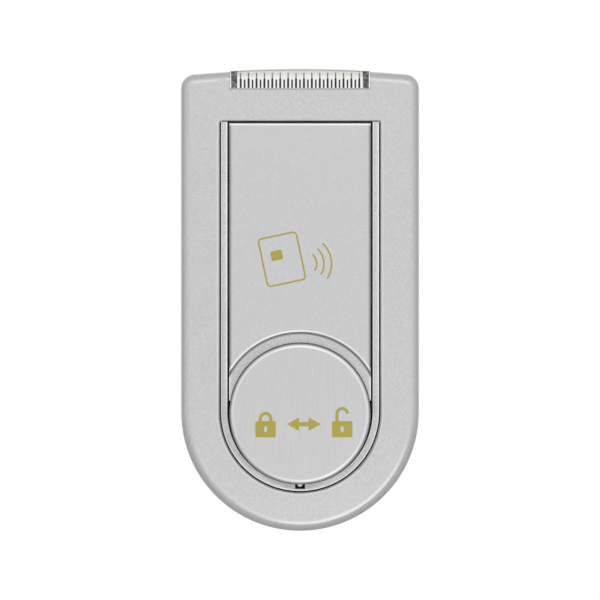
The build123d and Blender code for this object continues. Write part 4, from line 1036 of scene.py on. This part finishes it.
class LOCK_OT_latch(bpy.types.Operator):
    """Bevels the edges of the cam and its washer"""

    bl_idname = "cabinet_lock.latch"
    bl_label = "Latch"

    def execute(self, context):
        latch = context.scene.lock_latch
        zinc = bpy.data.materials["zinc_steel"]
        rows = (("cam", "cam_plate", latch.cam_edge), ("cam_washer", "cam_disc", latch.disc_edge))
        for node, name, width in rows:
            made = bevelled(name, merged_copy(node), zinc, width, "knob")
            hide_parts(node)
        return {"FINISHED"}


class LOCK_OT_signs(bpy.types.Operator):
    """Prints the card sign on the cover and the lock signs on the knob"""

    bl_idname = "cabinet_lock.signs"
    bl_label = "Signs"

    def execute(self, context):
        sizes = context.scene.lock_signs
        tint = tuple(context.scene.lock_finishes.gold)
        gold = moulded("gold_print", tint, 0.4, metallic=0.2, size=0.3 * MM)
        printed_sign("card_sign", self.card(sizes), COVER_LOW.y, sizes.film, gold, "lock_body")
        printed_sign("knob_signs", self.locks(sizes), CAP_LOW.y, sizes.film, gold, "knob")
        return {"FINISHED"}

    def card(self, sizes):
        """A tilted card with its chip, and three arcs beside it."""
        line, width, height = sizes.line / MM, sizes.card_width / MM, sizes.card_height / MM
        middle, turn, corner = (-5.6, 47.6), math.radians(12), 1.4
        chip = (middle[0] - 1.6, middle[1] + 1.2)
        arcs, first, pitch = (1.2, 46.2), 4.2, 2.3
        loops = [
            rounded_box(middle, width, height, corner, turn),
            rounded_box(middle, width - 2 * line, height - 2 * line, corner - line, turn),
            rounded_box(chip, 3.6, 3.0, 0.5, turn),
        ]
        for index in range(3):
            radius = first + pitch * index
            loops.append(arc_band(arcs, radius - line, radius, -32, 48))
        return loops

    def locks(self, sizes):
        """A closed padlock, a double arrow and an open padlock, side by side."""
        line, width, height = sizes.line / MM * 1.8, sizes.lock_width / MM, -3.2
        closed = padlock(-10.6, height, width, line, 0.0)
        opened = padlock(13.0, height, width, line, width * 0.22)
        return closed + double_arrow(1.2, height, 10.5, 4.2) + opened


class LOCK_OT_studio(bpy.types.Operator):
    """Sets up the floor, the soft lights and the camera"""

    bl_idname = "cabinet_lock.studio"
    bl_label = "Studio"

    def execute(self, context):
        studio = context.scene.lock_studio
        middle = Vector((0.0, HOUSING_LOW.y, studio.aim_height))
        self.floor(studio)
        self.world(context, studio)
        lamps = (
            ("front_light", studio.front_light, (0.0, -15.6, 0.0), 36.0),
            ("upper_light", studio.upper_light, (0.06, -0.60, 0.29), 0.34),
            ("lower_light", studio.lower_light, (0.09, -0.60, -0.285), 0.34),
            ("left_light", studio.side_light, (-2.2, -1.2, 0.2), 1.0),
            ("right_light", studio.side_light, (2.2, -1.2, 0.2), 1.0),
            ("back_light", studio.back_light, (0.0, 15.6, 3.6), 36.0),
        )
        for name, power, place, size in lamps:
            self.lamp(name, power, middle + Vector(place), middle, size)
        self.camera(context, studio, middle)
        context.scene.view_settings.view_transform = "Standard"
        return {"FINISHED"}

    def floor(self, studio):
        half = studio.floor_half
        mesh = bpy.data.meshes.new("floor")
        corners = [(-half, -half), (half, -half), (half, half), (-half, half)]
        mesh.from_pydata([(x, y, -studio.floor_drop) for x, y in corners], [], [(0, 1, 2, 3)])
        floor = linked("floor", mesh)
        made = Finish("floor_white", grey(0.80), 0.9)
        made.give("Emission Color", WHITE)
        self.seen(made, 0.0, studio.floor_white, made.shader.inputs["Emission Strength"])
        put_on(floor, made.material)

    def world(self, context, studio):
        world = bpy.data.worlds.new("studio_room")
        world.use_nodes = True
        back = world.node_tree.nodes["Background"].inputs
        back["Color"].default_value = WHITE
        self.seen(Nodes(world.node_tree), studio.room, 1.0, back["Strength"])
        context.scene.world = world

    def seen(self, nodes, unseen, shown, socket):
        """Sets one level where the background is only a light, and another where it is seen or mirrored."""
        rays = nodes.node("ShaderNodeLightPath").outputs
        found = rays["Is Camera Ray"]
        for kind in ("Is Transmission Ray", "Is Glossy Ray"):
            found = nodes.maths("MAXIMUM", found, rays[kind])
        level = nodes.node("ShaderNodeMapRange", {"Value": found, "To Min": unseen, "To Max": shown})
        nodes.feed(level.outputs["Result"], socket)

    def lamp(self, name, power, place, target, size):
        data = bpy.data.lights.new(name, "AREA")
        data.energy = power
        data.shape = "SQUARE"
        data.size = size
        lamp = linked(name, data)
        lamp.location = place
        lamp.rotation_euler = (target - place).to_track_quat("-Z", "Y").to_euler()
        lamp.visible_camera = False

    def camera(self, context, studio, middle):
        data = bpy.data.cameras.new("front_camera")
        data.sensor_width = 36.0
        data.lens = data.sensor_width * studio.distance / studio.view_width
        data.clip_start = 0.05
        data.clip_end = 50.0
        camera = linked("front_camera", data)
        camera.location = middle - Vector((0.0, studio.distance, 0.0))
        camera.rotation_euler = (math.pi / 2, 0.0, 0.0)
        context.scene.camera = camera


class LOCK_PT_panel(bpy.types.Panel):
    """Lists the lock's pieces and their settings"""

    bl_label = "Cabinet Lock"
    bl_space_type = "VIEW_3D"
    bl_region_type = "UI"
    bl_category = "Cabinet Lock"

    def draw(self, context):
        for operator, groups in STEPS:
            box = self.layout.box()
            box.operator(operator.bl_idname)
            for name in groups:
                group = getattr(context.scene, name)
                for label in group.bl_rna.properties.keys():
                    if label not in ("rna_type", "name"):
                        box.prop(group, label)


STEPS = (
    (LOCK_OT_finishes, {"lock_finishes": LockFinishes, "lock_panel": PanelSizes}),
    (LOCK_OT_strip, {"lock_strip": StripSizes}),
    (LOCK_OT_light_bar, {"lock_light_bar": LightBarSizes}),
    (LOCK_OT_knob, {"lock_knob": KnobSizes}),
    (LOCK_OT_barrel, {"lock_thread": ThreadSizes}),
    (LOCK_OT_latch, {"lock_latch": LatchSizes}),
    (LOCK_OT_signs, {"lock_signs": SignSizes}),
    (LOCK_OT_studio, {"lock_studio": StudioSettings}),
)


def register():
    for operator, groups in STEPS:
        bpy.utils.register_class(operator)
        for name, group in groups.items():
            bpy.utils.register_class(group)
            setattr(bpy.types.Scene, name, PointerProperty(type=group))
    bpy.utils.register_class(LOCK_PT_panel)


def unregister():
    bpy.utils.unregister_class(LOCK_PT_panel)
    for operator, groups in reversed(STEPS):
        for name, group in reversed(groups.items()):
            delattr(bpy.types.Scene, name)
            bpy.utils.unregister_class(group)
        bpy.utils.unregister_class(operator)


def main():
    register()
    bpy.ops.cabinet_lock.finishes()
    bpy.ops.cabinet_lock.strip()
    bpy.ops.cabinet_lock.light_bar()
    bpy.ops.cabinet_lock.knob()
    bpy.ops.cabinet_lock.barrel()
    bpy.ops.cabinet_lock.latch()
    bpy.ops.cabinet_lock.signs()
    bpy.ops.cabinet_lock.studio()


if __name__ == "__main__":
    main()
